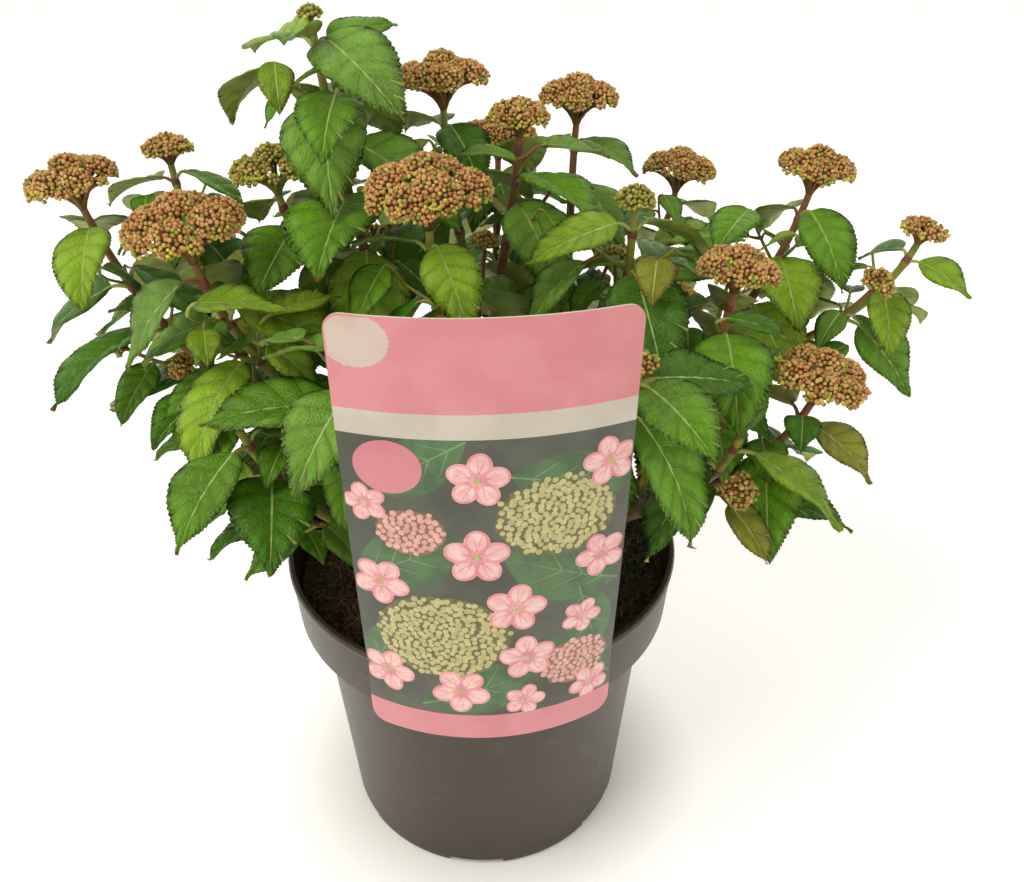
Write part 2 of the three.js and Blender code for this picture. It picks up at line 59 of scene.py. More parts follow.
METRES = 0.001
UP = np.array([0.0, 0.0, 1.0])
GOLDEN = 3 - math.sqrt(5)  # the golden angle as a share of pi
random = np.random.default_rng(27)

# ---- Driving sizes, in millimetres, as in the part's source ----

GAP = 0.3
POT_RIM, POT_HEIGHT, BAND_FOOT, BAND, BAND_TAPER = 95.0, 163.0, 132.0, 94.2, 1.7
STEP, SHOULDER, BASE, WALL, FLOOR, DRAINS, DRAIN_TURN = 4.0, 82.5, 73.5, 1.8, 3.0, 6, math.radians(-94)
DRAIN_HALF, DRAIN_HEIGHT = 14, 4
SOIL_LEVEL, SOIL_MOUND = 145.0, 3.0
LABEL_WIDTH, LABEL_FOOT, LABEL_TOP, LABEL_CORNER = 111.0, 127.0, 330.0, 7.0
PICTURE_FOOT, PICTURE_TOP, STRIP_TOP, PRINT_MARGIN = 141.3, 282.6, 293.0, 0.6
FOOT_BEND, TOP_BEND, CARD, LABEL_TURN, HOOK, HOOK_HALF = 96.8, 170.0, 0.7, math.radians(3), 18.0, 0.6
CROWN_RADIUS = 16.0
CROWN = np.array([0.0, 0.0, SOIL_LEVEL + SOIL_MOUND + GAP])
LIMB_FOOT, SIDE_FOOT, LIMB_TIP, TWIG_FOOT, TWIG_TIP, BARE = 3.4, 2.6, 1.7, 1.3, 0.9, 0.42

COLUMNS = "name source at foot bearing reach height head pairs leaf turn sides".split()
SHOOTS = [
    ("left_front", "", 0, -160, 179, 121, 330, 54, 5, 62, -10, 1),
    ("left_far", "", 0, 165, 163, 193, 330, 44, 5, 67, 30, 2),
    ("centre_front", "", 0, -80, 158, 22, 343, 56, 4, 62, 0, 1),
    ("right_upper", "", 0, 30, 27, 184, 324, 40, 5, 61, 1, 2),
    ("right_low", "", 0, -15, -9, 149, 270, 44, 4, 56, -35, 1),
    ("centre_back", "", 0, 75, 99, 111, 362, 48, 5, 60, 105, 1),
    ("right_back", "", 0, 10, 68, 134, 348, 42, 5, 56, -30, 1),
    ("left_tall", "", 0, 140, 136, 98, 394, 12, 6, 75, -4, 1),
    ("right_mid", "right_low", 0.35, 0.16, 1, 111, 308, 36, 4, 66, 25, 1),
    ("left_mid", "left_tall", 0.3, 3.85, 151, 105, 336, 38, 3, 54, 115, 1),
    ("left_back", "left_far", 0.38, 2.9, 145, 190, 326, 26, 4, 58, 30, 1),
    ("right_far", "right_upper", 0.35, 5.15, 15, 218, 301, 22, 4, 44, -45, 1),
    ("centre_mid", "centre_back", 0.3, 3.14, 77, 88, 348, 31, 4, 57, 30, 1),
    ("centre_right", "right_upper", 0.2, 0.58, 15, 70, 330, 20, 4, 67, 50, 1),
    ("low_left", "", 0, -145, -152, 108, 258, 0, 4, 62, -10, 1),
    ("low_right", "right_low", 0.28, 1.64, -24, 118, 250, 0, 3, 62, 40, 1),
    ("front_left", "low_left", 0.35, 0.12, -132, 67, 294, 0, 4, 58, 30, 1),
    ("front_right", "centre_front", 0.25, 1.16, -39, 83, 290, 14, 4, 62, 90, 0),
    ("back_left", "centre_back", 0.38, 1.8, 118, 170, 310, 40, 4, 56, 50, 1),
    ("back_far", "", 0, 88, 87, 185, 312, 46, 5, 64, 70, 1),
    ("back_right", "right_back", 0.38, 0.58, 55, 194, 300, 42, 4, 54, 0, 1),
]


# ---- The growth rule, the same as the source's ----


def unit(v):
    """A vector, or each row of an array, divided by its length."""
    return v / np.linalg.norm(v, axis=-1, keepdims=True)


def chance(shoot, place, question):
    """A number from 0 to 1 that is always the same for the same shoot, place on it and question."""
    wave = math.sin(shoot * 127.1 + place * 311.7 + question * 74.7) * 43758.5453
    return wave - math.floor(wave)


def turned(v, axis, angle):
    """Vectors turned about an axis: v cos + (axis x v) sin + axis (axis . v)(1 - cos)."""
    c, s = math.cos(angle), math.sin(angle)
    return v * c + np.cross(axis, v) * s + np.multiply.outer(v @ axis, axis) * (1 - c)


def compass(bearing, reach, height):
    """A point by its bearing in degrees, its distance from the axis and its height."""
    angle = math.radians(bearing)
    return np.array([reach * math.cos(angle), reach * math.sin(angle), height])


class Limb:
    """A tapering limb on a cubic curve: foot, foot + 0.38 span heading, tip - 0.34 span arriving, tip."""

    def __init__(self, foot, heading, tip, arriving, foot_radius, tip_radius):
        span = np.linalg.norm(tip - foot)
        self.points = np.array([foot, foot + heading * span * 0.38, tip - arriving * span * 0.34, tip])
        self.side = unit(np.cross(UP, tip - foot))
        self.radii = foot_radius, tip_radius
        chords = np.diff(self.middle(np.linspace(0, 1, 201)), axis=0)
        self.length = float(np.linalg.norm(chords, axis=1).sum())

    def middle(self, t):
        """Points of the middle line: the cubic Bernstein sum of the four points."""
        t = np.asarray(t, float)[..., None]
        a, b, c, d = self.points
        return (1 - t) ** 3 * a + 3 * (1 - t) ** 2 * t * b + 3 * (1 - t) * t**2 * c + t**3 * d

    def frame(self, t):
        """The point, the way along, and two ways across, at one share of the length or at several."""
        t = np.asarray(t, float)
        along = unit(self.middle(np.minimum(t + 1e-4, 1)) - self.middle(np.maximum(t - 1e-4, 0)))
        across = unit(self.side - along * (along @ self.side)[..., None])
        return self.middle(t), along, across, np.cross(along, across)

    def radius(self, t):
        return self.radii[0] + (self.radii[1] - self.radii[0]) * t


def outwards(place, angle):
    """The way from a limb's middle line outwards: across cos + other sin."""
    return place[2] * math.cos(angle) + place[3] * math.sin(angle)


class Room:
    """The turned boxes that are taken, and the test whether new ones would meet them."""

    CLEARANCE = 0.7

    def __init__(self):
        self.boxes, self.owners = [np.zeros((0, 16))], [np.zeros(0, int)]

    @classmethod
    def box(cls, points, along, side):
        """The box round some points whose first two sides run along two directions, as 16 numbers."""
        x = unit(along)
        y = unit(side - x * (side @ x))
        axes = np.array([x, y, np.cross(x, y)])
        spread = np.asarray(points) @ axes.T
        low, high = spread.min(axis=0), spread.max(axis=0)
        half = (high - low) / 2 + cls.CLEARANCE
        return np.concatenate([(low + high) / 2 @ axes, half, axes.ravel(), [np.linalg.norm(half)]])

    def take(self, boxes, owner=0):
        self.boxes.append(np.array(boxes))
        self.owners.append(np.full(len(boxes), owner))
        if len(self.boxes) > 40:
            self.pack()

    def pack(self):
        self.boxes, self.owners = [np.concatenate(self.boxes)], [np.concatenate(self.owners)]

    def blocked(self, boxes, owner=None):
        """Whether any new box meets a taken one of another owner: no axis of the fifteen parts them."""
        if len(self.boxes) > 1:
            self.pack()
        new = np.array(boxes)
        old = self.boxes[0] if owner is None else self.boxes[0][self.owners[0] != owner]
        apart = old[:, None, :3] - new[None, :, :3]
        reach = old[:, None, 15] + new[None, :, 15]
        i, j = np.nonzero((apart**2).sum(axis=-1) < reach**2)
        if not len(i):
            return False
        a, b = old[i], new[j]
        ha, hb = a[:, 3:6], b[:, 3:6]
        ua, ub = a[:, 6:15].reshape(-1, 3, 3), b[:, 6:15].reshape(-1, 3, 3)
        turn = np.einsum("nik,njk->nij", ua, ub)
        size = np.abs(turn) + np.finfo(float).eps
        way = np.einsum("nik,nk->ni", ua, b[:, :3] - a[:, :3])
        free = (np.abs(way) > ha + np.einsum("nij,nj->ni", size, hb)).any(axis=1)
        back = np.abs(np.einsum("ni,nij->nj", way, turn))
        free |= (back > np.einsum("ni,nij->nj", ha, size) + hb).any(axis=1)
        for p in range(3):
            p1, p2 = (p + 1) % 3, (p + 2) % 3
            for q in range(3):
                q1, q2 = (q + 1) % 3, (q + 2) % 3
                ra = ha[:, p1] * size[:, p2, q] + ha[:, p2] * size[:, p1, q]
                rb = hb[:, q1] * size[:, p, q2] + hb[:, q2] * size[:, p, q1]
                free |= np.abs(way[:, p2] * turn[:, p1, q] - way[:, p1] * turn[:, p2, q]) > ra + rb
        return bool((~free).any())


room = Room()


def limb_boxes(limb, steps):
    """Boxes along a limb, each round the two four-sided rings at its ends."""
    boxes = []
    angles = np.arange(4) * math.pi / 2
    for i in range(steps):
        points = []
        for t in (i / steps, (i + 1) / steps):
            at, _, across, other = limb.frame(t)
            ring = np.outer(np.cos(angles), across) + np.outer(np.sin(angles), other)
            points.append(at + ring * limb.radius(t))
        _, along, across, _ = limb.frame((i + 0.5) / steps)
        boxes.append(Room.box(np.concatenate(points), along, across))
    return boxes


def label_point(s, z, depth=0.0):
    """A point of the label's front, s along its width, at height z, moved inwards by depth: on an arc
    whose radius grows evenly from the rim to the top edge, and that is turned about +Z."""
    s, z, depth = np.broadcast_arrays(np.asarray(s, float), np.asarray(z, float), np.asarray(depth, float))
    share = np.maximum(0, (z - POT_HEIGHT) / (LABEL_TOP - POT_HEIGHT))
    bend = FOOT_BEND + (TOP_BEND - FOOT_BEND) * share
    angle = s / bend
    x = (bend - depth) * np.sin(angle)
    y = bend - FOOT_BEND - (bend - depth) * np.cos(angle)
    c, d = math.cos(LABEL_TURN), math.sin(LABEL_TURN)
    return np.stack([x * c - y * d, x * d + y * c, z], axis=-1)


def take_fixtures():
    """Boxes for the pot's band, the soil, the crown, the label and its hook."""
    wedges = 16
    for i in range(wedges):
        points = []
        for k in (-0.5, 0.5):
            angle = (i + k) * 2 * math.pi / wedges
            for reach in (POT_RIM - 8, POT_RIM / math.cos(math.pi / wedges)):
                x, y = reach * math.cos(angle), reach * math.sin(angle)
                points += [(x, y, POT_HEIGHT - 60), (x, y, POT_HEIGHT)]
        middle = i * 2 * math.pi / wedges
        room.take([Room.box(points, UP, np.array([-math.sin(middle), math.cos(middle), 0]))])
    for half, low, high in ((POT_RIM * 0.75, 0, CROWN[2]), (CROWN_RADIUS, 0, CROWN[2] + CROWN_RADIUS)):
        room.take([Room.box([(-half, -half, low), (half, half, high)], UP, np.array([1.0, 0, 0]))])
    strips = 5
    for i in range(strips):
        edges = [LABEL_WIDTH * (k / strips - 0.5) for k in (i, i + 0.5, i + 1)]
        points = [label_point(s, z, CARD) for s in edges for z in (LABEL_FOOT, POT_HEIGHT, LABEL_TOP)]
        room.take([Room.box(points, UP, label_point(edges[2], 0) - label_point(edges[0], 0))])
    edges = (-HOOK / 2, HOOK / 2)
    hook = [label_point(s, z, d) for z in (LABEL_FOOT, POT_HEIGHT + 20) for s in edges for d in (0, 9)]
    room.take([Room.box(hook, UP, np.array([1.0, 0, 0]))])


class Head:
    """A flower head: the middle of its dome's widest ring, its foot, its axis, width and first turn."""

    def __init__(self, top, hub, axis, width, turn):
        self.top, self.hub, self.axis, self.width, self.turn = top, hub, axis, width, turn
        self.side = unit(np.cross(UP, axis))
        self.other = np.cross(axis, self.side)

    def point(self, away, angle, height):
        """top + side away cos + other away sin + axis height."""
        away, angle, height = (np.asarray(v, float)[..., None] for v in (away, angle, height))
        return self.top + away * (self.side * np.cos(angle) + self.other * np.sin(angle)) + self.axis * height

    def boxes(self):
        angles = (np.arange(4) + 0.5) * math.pi / 2
        w = self.width
        disc = [self.point(w * 0.64, angles, w * h) for h in (0.16, -0.12)]
        stalk = [self.point(w * 0.3, angles, w * -0.12), self.hub[None]]
        return [Room.box(np.concatenate(points), self.axis, self.side) for points in (disc, stalk)]


class Shoot:
    """One row of the table, with the limb, twigs, heads and leaves that grow from it."""

    def __init__(self, number, row):
        self.__dict__.update(zip(COLUMNS, row))
        self.number, self.twigs, self.fine, self.heads, self.leaves = number, [], [], [], []

    def grow_limb(self, parent):
        """Where the limb starts and where it goes, bending upwards on the way."""
        top = compass(self.bearing, self.reach, self.height)
        place = parent.limb.frame(self.at) if parent else (CROWN,)
        chord = unit(top - place[0])
        arriving = unit(chord * 0.6 + UP)
        if parent:
            heading = unit(unit(chord - UP * 0.2) + place[1] * 0.3)
            slant = math.acos(min(1, heading @ place[1]))
            clear = (parent.limb.radius(self.at) + GAP) / math.sin(slant) + SIDE_FOOT / math.tan(slant)
            clear -= self.foot
        else:
            elevation = math.radians(60 if chord[2] > 0.76 else 30)
            heading = compass(self.foot, math.cos(elevation), math.sin(elevation))
            clear = CROWN_RADIUS + GAP
        foot = place[0] + heading * clear
        self.axis = unit(chord * 0.3 + UP)
        hub = top - self.axis * 0.42 * self.head
        self.limb = Limb(foot, heading, hub, arriving, SIDE_FOOT if parent else LIMB_FOOT, LIMB_TIP)
        room.take(limb_boxes(self.limb, 8), self.number)
        if self.head:
            self.heads.append(Head(top, self.limb.frame(1)[0], self.axis, self.head, self.number))
            room.take(self.heads[0].boxes())

    def nodes(self):
        """The nodes beyond the bare foot, as shares of the length, and the turn of each one's leaves."""
        first = BARE + 9 / self.limb.length
        return [
            (
                first + (0.99 - first) * k / (self.pairs - 0.6),
                math.radians(self.turn + 90 * k + 24 * (chance(self.number, k, 1) - 0.5)),
            )
            for k in range(self.pairs)
        ]

    def grow_twig(self, k):
        """A side twig from a low node, with its small head, in the first direction that has room."""
        t, turn = self.nodes()[k]
        place = self.limb.frame(t)
        number = 20 + 10 * k
        length = 34 + 16 * chance(self.number, k, 3)
        width = 12 + 7 * chance(self.number, number, 4)
        half = 0 if chance(self.number, k, 2) < 0.5 else math.pi
        for yaw in (0, math.pi, math.pi / 2, -math.pi / 2):
            away = outwards(place, turn + half + yaw)
            heading = unit(away * 0.6 + place[1] * 0.8)
            axis = unit(heading + UP * 0.5)
            tip = place[0] + heading * length * 0.6 + axis * length * 0.4
            limb = Limb(place[0], heading, tip, axis, TWIG_FOOT, TWIG_TIP)
            head = Head(tip + axis * width * 0.3, tip, axis, width, number)
            boxes = limb_boxes(limb, 2) + head.boxes()
            if not room.blocked(boxes, self.number):
                room.take(boxes, self.number)
                self.twigs.append((limb, number))
                self.heads.append(head)
                return

    def grow_leaves(self):
        """The leaves in their pairs, from the top pair down, then those of the side twigs."""

        def any_of(place, question, low, high):
            return low + (high - low) * chance(self.number, place, question)

        nodes = self.nodes()
        for k in reversed(range(self.pairs)):
            share = k / max(1, self.pairs - 1)
            for side in (0, 1):
                length = self.leaf * (1 - 0.3 * share * share) * any_of(k, 5 + side, 0.9, 1.1)
                droop = math.radians(38 - 26 * share + any_of(k, 7 + side, -10, 10))
                twist = math.radians(any_of(k, 9 + side, -18, 18))
                bend = math.radians(any_of(k, 11 + side, 22, 42))
                place = self.limb.frame(nodes[k][0] + (side - 0.5) / self.limb.length)
                self.place_leaf(place, nodes[k][1] + side * math.pi, (length, droop, bend, twist))
        for limb, number in self.twigs:
            for k, t in enumerate((0.55, 0.93)):
                for side in (0, 1):
                    spot = number + k
                    length = self.leaf * any_of(spot, 5 + side, 0.42, 0.64)
                    droop = math.radians(any_of(spot, 7 + side, 16, 40))
                    angle = k * math.pi / 2 + side * math.pi + any_of(spot, 1, 0, 2)
                    place = limb.frame(t + (side - 0.5) / limb.length)
                    self.place_leaf(place, angle, (length, droop, math.radians(30), 0.0))

    def place_leaf(self, place, angle, shape, sizes=(1, 0.8, 0.62), tilts=(0, -16, 16, -32, -48), yaws=7):
        """The first way of hanging a leaf that is clear of everything, smaller if need be, or none."""
        length, droop, bend, twist = shape
        for size in sizes:
            for more in tilts:
                for yaw in (0, 20, -20, 40, -40, 60, -60)[:yaws]:
                    away = outwards(place, angle + math.radians(yaw))
                    leaf = Leaf(place, away, length * size, droop + math.radians(more), bend, twist)
                    if leaf.middle(1)[2] <= POT_HEIGHT + 32:
                        continue
                    stalk, blade = leaf.boxes()
                    if not room.blocked(blade) and not room.blocked(stalk, self.number):
                        room.take(stalk + blade, self.number)
                        self.leaves.append(leaf)
                        return


class Leaf:
    """Where a leaf lies: its stalk, and a blade that droops and bends on from the stalk's end."""

    FOLD = 0.28

    def __init__(self, place, away, length, droop, bend, twist):
        at, along = place[0], place[1]
        self.root, self.length, self.width, self.bend = at, length, 0.6 * length, bend
        self.stalk = unit(away + along * 0.75)
        ahead = unit((away + along * 0.45) * (1, 1, 0))
        self.midrib = ahead * math.cos(droop) - UP * math.sin(droop)
        normal = UP * math.cos(droop) + ahead * math.sin(droop)
        self.normal = turned(normal, self.midrib, twist)
        self.side = np.cross(self.normal, self.midrib)
        self.base = at + self.stalk * 0.2 * length

    def middle(self, u):
        """base + midrib L sin(bend u) / bend - normal L (1 - cos(bend u)) / bend."""
        angle = self.bend * np.asarray(u, float)[..., None]
        reach = self.length / self.bend
        return self.base + self.midrib * reach * np.sin(angle) - self.normal * reach * (1 - np.cos(angle))

    def above(self, u):
        """The way up from the blade: normal cos(bend u) + midrib sin(bend u)."""
        angle = self.bend * np.asarray(u, float)[..., None]
        return self.normal * np.cos(angle) + self.midrib * np.sin(angle)

    def half_width(self, u):
        """Egg-shaped with a drawn-out tip: (width / 0.56) u^0.7 (1 - u)^1.25."""
        return self.width / 2 / 0.28 * u**0.7 * (1 - u) ** 1.25

    def half_side(self, sign, u=0.4):
        return self.side * sign * math.cos(self.FOLD) + self.above(u) * math.sin(self.FOLD)

    def boxes(self):
        """The boxes it takes up: its stalk, and three stretches of each half of its blade."""
        shares = np.array([0, 0.33, 0.66, 1])
        blade = []
        for sign in (1, -1):
            for i in range(3):
                u = np.array([shares[i], (shares[i] + shares[i + 1]) / 2, shares[i + 1]])
                middle = self.middle(u)
                edge = middle + self.half_side(sign, u) * self.half_width(u)[:, None]
                points = np.concatenate([middle, edge])
                blade.append(Room.box(points, middle[2] - middle[0], self.half_side(sign)))
        stalk = Room.box([self.root + self.stalk * 3.5, self.base], self.stalk, self.side)
        return [stalk], blade


take_fixtures()
shoots = [Shoot(i + 1, row) for i, row in enumerate(SHOOTS)]
for shoot in shoots:
    shoot.grow_limb(next((other for other in shoots if other.name == shoot.source), None))
for shoot in shoots:
    for k in range(shoot.sides):
        shoot.grow_twig(k)
for shoot in shoots:
    shoot.grow_leaves()


# ---- Meshes ----


def circle_ways(across, other, sides):
    """The ways outwards round each point of a path: across cos + other sin, evenly round it."""
    angle = np.arange(sides) * 2 * math.pi / sides
    return across[:, None] * np.cos(angle)[None, :, None] + other[:, None] * np.sin(angle)[None, :, None]


def ring_faces(rows, columns):
    """Quads between closed rings that turn anticlockwise about the way they follow, facing outwards."""
    start = np.arange(rows - 1)[:, None] * columns
    here = np.arange(columns)[None]
    after = (here + 1) % columns
    return np.stack([start + here, start + after, start + columns + after, start + columns + here], axis=-1)


class Batch:
    """The points and faces of one piece: each face has its finish, each point its pattern place."""

    def __init__(self):
        self.points, self.spots, self.quads, self.tris, self.tones = [], [], [], [], [[], []]
        self.count = 0

    def add(self, points, quads, tris, quad_tone, tri_tone, spots=None):
        quads, tris = quads.reshape(-1, 4), tris.reshape(-1, 3)
        self.points.append(points)
        self.spots.append(np.zeros((len(points), 2)) if spots is None else spots)
        self.quads.append(quads + self.count)
        self.tris.append(tris + self.count)
        self.tones[0].append(np.broadcast_to(quad_tone, len(quads)))
        self.tones[1].append(np.broadcast_to(tri_tone, len(tris)))
        self.count += len(points)

    def sheet(self, front, back, tones):
        """A closed thin sheet: rings of a front row and the back row reversed, closed by quads."""
        rings = np.concatenate([front, back[:, ::-1]], axis=1)
        rows, columns = rings.shape[:2]
        here = np.arange(front.shape[1] - 1)
        cap = np.stack([here, here + 1, columns - 2 - here, columns - 1 - here], axis=-1)
        caps = [cap[:, ::-1], cap + (rows - 1) * columns]
        quads = np.concatenate([ring_faces(rows, columns).reshape(-1, 4), *caps])
        edge = np.full(2 * len(cap), tones[0, -1])
        none = np.zeros((0, 3), int)
        self.add(rings.reshape(-1, 3), quads, none, np.concatenate([tones.ravel(), edge]), 0)

    def skin(self, rings, tone=0, start=None, end=None, spots=None):
        """A closed skin over rings: quads between them, and a fan to a middle point at both ends."""
        rows, columns = rings.shape[:2]
        start = rings[0].mean(axis=0) if start is None else start
        end = rings[-1].mean(axis=0) if end is None else end
        points = np.concatenate([rings.reshape(-1, 3), [start, end]])
        here = np.arange(columns)
        after = (here + 1) % columns
        last = (rows - 1) * columns
        fans = [
            np.stack([np.full(columns, rows * columns), after, here], axis=-1),
            np.stack([np.full(columns, rows * columns + 1), last + here, last + after], axis=-1),
        ]
        tone = np.asarray(tone)[:, None] if np.ndim(tone) == 1 else tone
        tones = np.broadcast_to(tone, (rows - 1, columns))
        if spots is not None:
            ends = np.stack([spots[0].mean(axis=0), spots[-1].mean(axis=0)])
            spots = np.concatenate([spots.reshape(-1, 2), ends])
        fan_tones = np.concatenate([tones[0], tones[-1]])
        self.add(points, ring_faces(rows, columns), np.concatenate(fans), tones.ravel(), fan_tones, spots)

    def tube(self, path, radii, sides, tone=0):
        """A closed tube: rings of a radius about a path, each square to the way through its neighbours."""
        way = unit(np.gradient(path, axis=0))
        guide = UP if abs(way[:, 2]).min() < 0.9 else np.array([1.0, 0.3, 0])
        across = unit(np.cross(way, guide))
        spread = circle_ways(across, np.cross(way, across), sides)
        self.skin(path[:, None] + spread * np.broadcast_to(radii, len(path))[:, None, None], tone)

    def copies(self, shape, places, tones):
        """Copies of a small closed shape: each point p goes to place + p turned and stretched by a matrix."""
        points, quads, tris = shape
        at, matrices = places
        moved = at[:, None] + np.einsum("nij,pj->npi", matrices, points)
        shift = (np.arange(len(at)) * len(points))[:, None, None]
        quad_tones, tri_tones = np.repeat(tones, len(quads)), np.repeat(tones, len(tris))
        self.add(moved.reshape(-1, 3), quads[None] + shift, tris[None] + shift, quad_tones, tri_tones)

    def mesh(self, name, finishes):
        """The batch as one smooth mesh in metres."""
        quads, tris = np.concatenate(self.quads), np.concatenate(self.tris)
        corners = np.concatenate([quads.ravel(), tris.ravel()]).astype(np.int32)
        starts = np.concatenate([np.arange(len(quads)) * 4, quads.size + np.arange(len(tris)) * 3])
        mesh = bpy.data.meshes.new(name)
        mesh.vertices.add(self.count)
        mesh.vertices.foreach_set("co", (np.concatenate(self.points) * METRES).astype(np.float32).ravel())
        mesh.loops.add(len(corners))
        mesh.loops.foreach_set("vertex_index", corners)
        mesh.polygons.add(len(starts))
        mesh.polygons.foreach_set("loop_start", starts.astype(np.int32))
        tones = np.concatenate([np.concatenate(self.tones[0]), np.concatenate(self.tones[1])])
        mesh.polygons.foreach_set("material_index", tones.astype(np.int32))
        mesh.update(calc_edges=True)
        layer = mesh.uv_layers.new(name="place")
        layer.data.foreach_set("uv", np.concatenate(self.spots)[corners].astype(np.float32).ravel())
        mesh.shade_smooth()
        for finish in finishes:
            mesh.materials.append(finish.material)
        return mesh

    def make(self, name, finishes, slot, nodes, sharp=None):
        """The batch as a piece that rides on the part and stands for some nodes."""
        mesh = self.mesh(name, finishes)
        if sharp:
            mesh.set_sharp_from_angle(angle=math.radians(sharp))
        piece = bpy.data.objects.new(name, mesh)
        bpy.context.scene.collection.objects.link(piece)
        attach(piece, "root")
        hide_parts(*nodes)
        return piece


def bead_shape(sides, rings):
    """A small closed bead of unit size from rings of (radius, height), between two poles at -0.8 and 1."""
    angle = np.arange(sides) * 2 * math.pi / sides
    circle = np.stack([np.cos(angle), np.sin(angle), np.zeros(sides)], axis=-1)
    points = np.array([circle * r + (0, 0, h) for r, h in rings])
    batch = Batch()
    batch.skin(points, 0, np.array([0, 0, -0.8]), np.array([0, 0, 1.0]))
    return batch.points[0], batch.quads[0], batch.tris[0]


def bases(ways, sizes, spin=None):
    """Matrices that stand a shape's +Z along each way, turned about it by spin, and scale it."""
    ways = unit(ways)
    guide = np.where(np.abs(ways[:, 2:]) < 0.9, UP, (1.0, 0, 0))
    x = unit(np.cross(guide, ways))
    y = np.cross(ways, x)
    if spin is not None:
        c, s = np.cos(spin)[:, None], np.sin(spin)[:, None]
        x, y = x * c + y * s, y * c - x * s
    return np.stack([x, y, ways], axis=-1) * np.asarray(sizes)[:, None, None]


def curve(*points, steps=6):
    """Points of the quadratic curve from the first point to the last, pulled towards the middle one."""
    t = np.linspace(0, 1, steps)[:, None]
    a, b, c = points
    return (1 - t) ** 2 * a + 2 * (1 - t) * t * b + t**2 * c


# ---- Finishes ----


def tone(code, factor=1.0):
    """A colour from its six hexadecimal digits, as linear light."""
    shares = [int(code[i : i + 2], 16) / 255 for i in (0, 2, 4)]
    linear = [s / 12.92 if s < 0.04045 else ((s + 0.055) / 1.055) ** 2.4 for s in shares]
    return tuple(factor * s for s in linear) + (1.0,)


class Value:
    """A socket's number, for sums such as 1 - a or a * b, each of which adds a Math node."""

    def __init__(self, finish, socket):
        self.finish, self.socket = finish, socket

    def _math(self, operation, a, b):
        return self.finish.node("ShaderNodeMath", {"operation": operation}, {0: a, 1: b})

    def __add__(self, other):
        return self._math("ADD", self, other)

    def __radd__(self, other):
        return self._math("ADD", other, self)

    def __sub__(self, other):
        return self._math("SUBTRACT", self, other)

    def __rsub__(self, other):
        return self._math("SUBTRACT", other, self)

    def __mul__(self, other):
        return self._math("MULTIPLY", self, other)

    def __rmul__(self, other):
        return self._math("MULTIPLY", other, self)


class Finish:
    """A procedural finish: one Principled shader, and the nodes that feed it."""

    def __init__(self, name, **constants):
        self.material = bpy.data.materials.new(name)
        self.material.use_nodes = True
        self.tree = self.material.node_tree
        self.shader = self.tree.nodes["Principled BSDF"]
        self.feed(**constants)

    def node(self, kind, settings, inputs, output=0):
        """One node of a type: its settings first, then the values or links of its sockets."""
        node = self.tree.nodes.new(kind)
        for key, value in settings.items():
            setattr(node, key, value)
        for key, value in inputs.items():
            self.put(self.socket(node.inputs, key), value)
        return Value(self, self.socket(node.outputs, output))

    @staticmethod
    def socket(sockets, key):
        """The socket with a number, or the first with a name."""
        if isinstance(key, int):
            return sockets[key]
        return next(s for s in sockets if key in (s.identifier, s.name))

    def put(self, socket, value):
        if isinstance(value, Value):
            self.tree.links.new(value.socket, socket)
        else:
            socket.default_value = value

    def feed(self, **inputs):
        """Puts values or links into the shader's sockets, named with _ for a space."""
        for key, value in inputs.items():
            self.put(self.shader.inputs[key.replace("_", " ")], value)
        return self

    def place(self, kind="Object"):
        """Where on the piece: its own coordinates, or its pattern places."""
        return self.node("ShaderNodeTexCoord", {}, {}, kind)

    def noise(self, scale, detail=3.0, roughness=0.5):
        """A cloudy pattern of 0 to 1 on the piece's own coordinates."""
        inputs = {"Vector": self.place(), "Scale": scale, "Detail": detail, "Roughness": roughness}
        return self.node("ShaderNodeTexNoise", {}, inputs, "Fac")

    def mix(self, factor, a, b):
        inputs = {"Factor_Float": factor, "A_Color": a, "B_Color": b}
        return self.node("ShaderNodeMix", {"data_type": "RGBA"}, inputs, "Result_Color")

    def steps(self, value, low, high):
        """0 below low, 1 above high, and smooth between them."""
        inputs = {"Value": value, "From Min": low, "From Max": high}
        return self.node("ShaderNodeMapRange", {"interpolation_type": "SMOOTHSTEP"}, inputs)

    def relief(self, height, depth, strength=1.0):
        """Bumps of a depth in metres from a height of 0 to 1, fed to the shader's normal."""
        inputs = {"Height": height, "Distance": depth, "Strength": strength}
        return self.feed(Normal=self.node("ShaderNodeBump", {}, inputs))


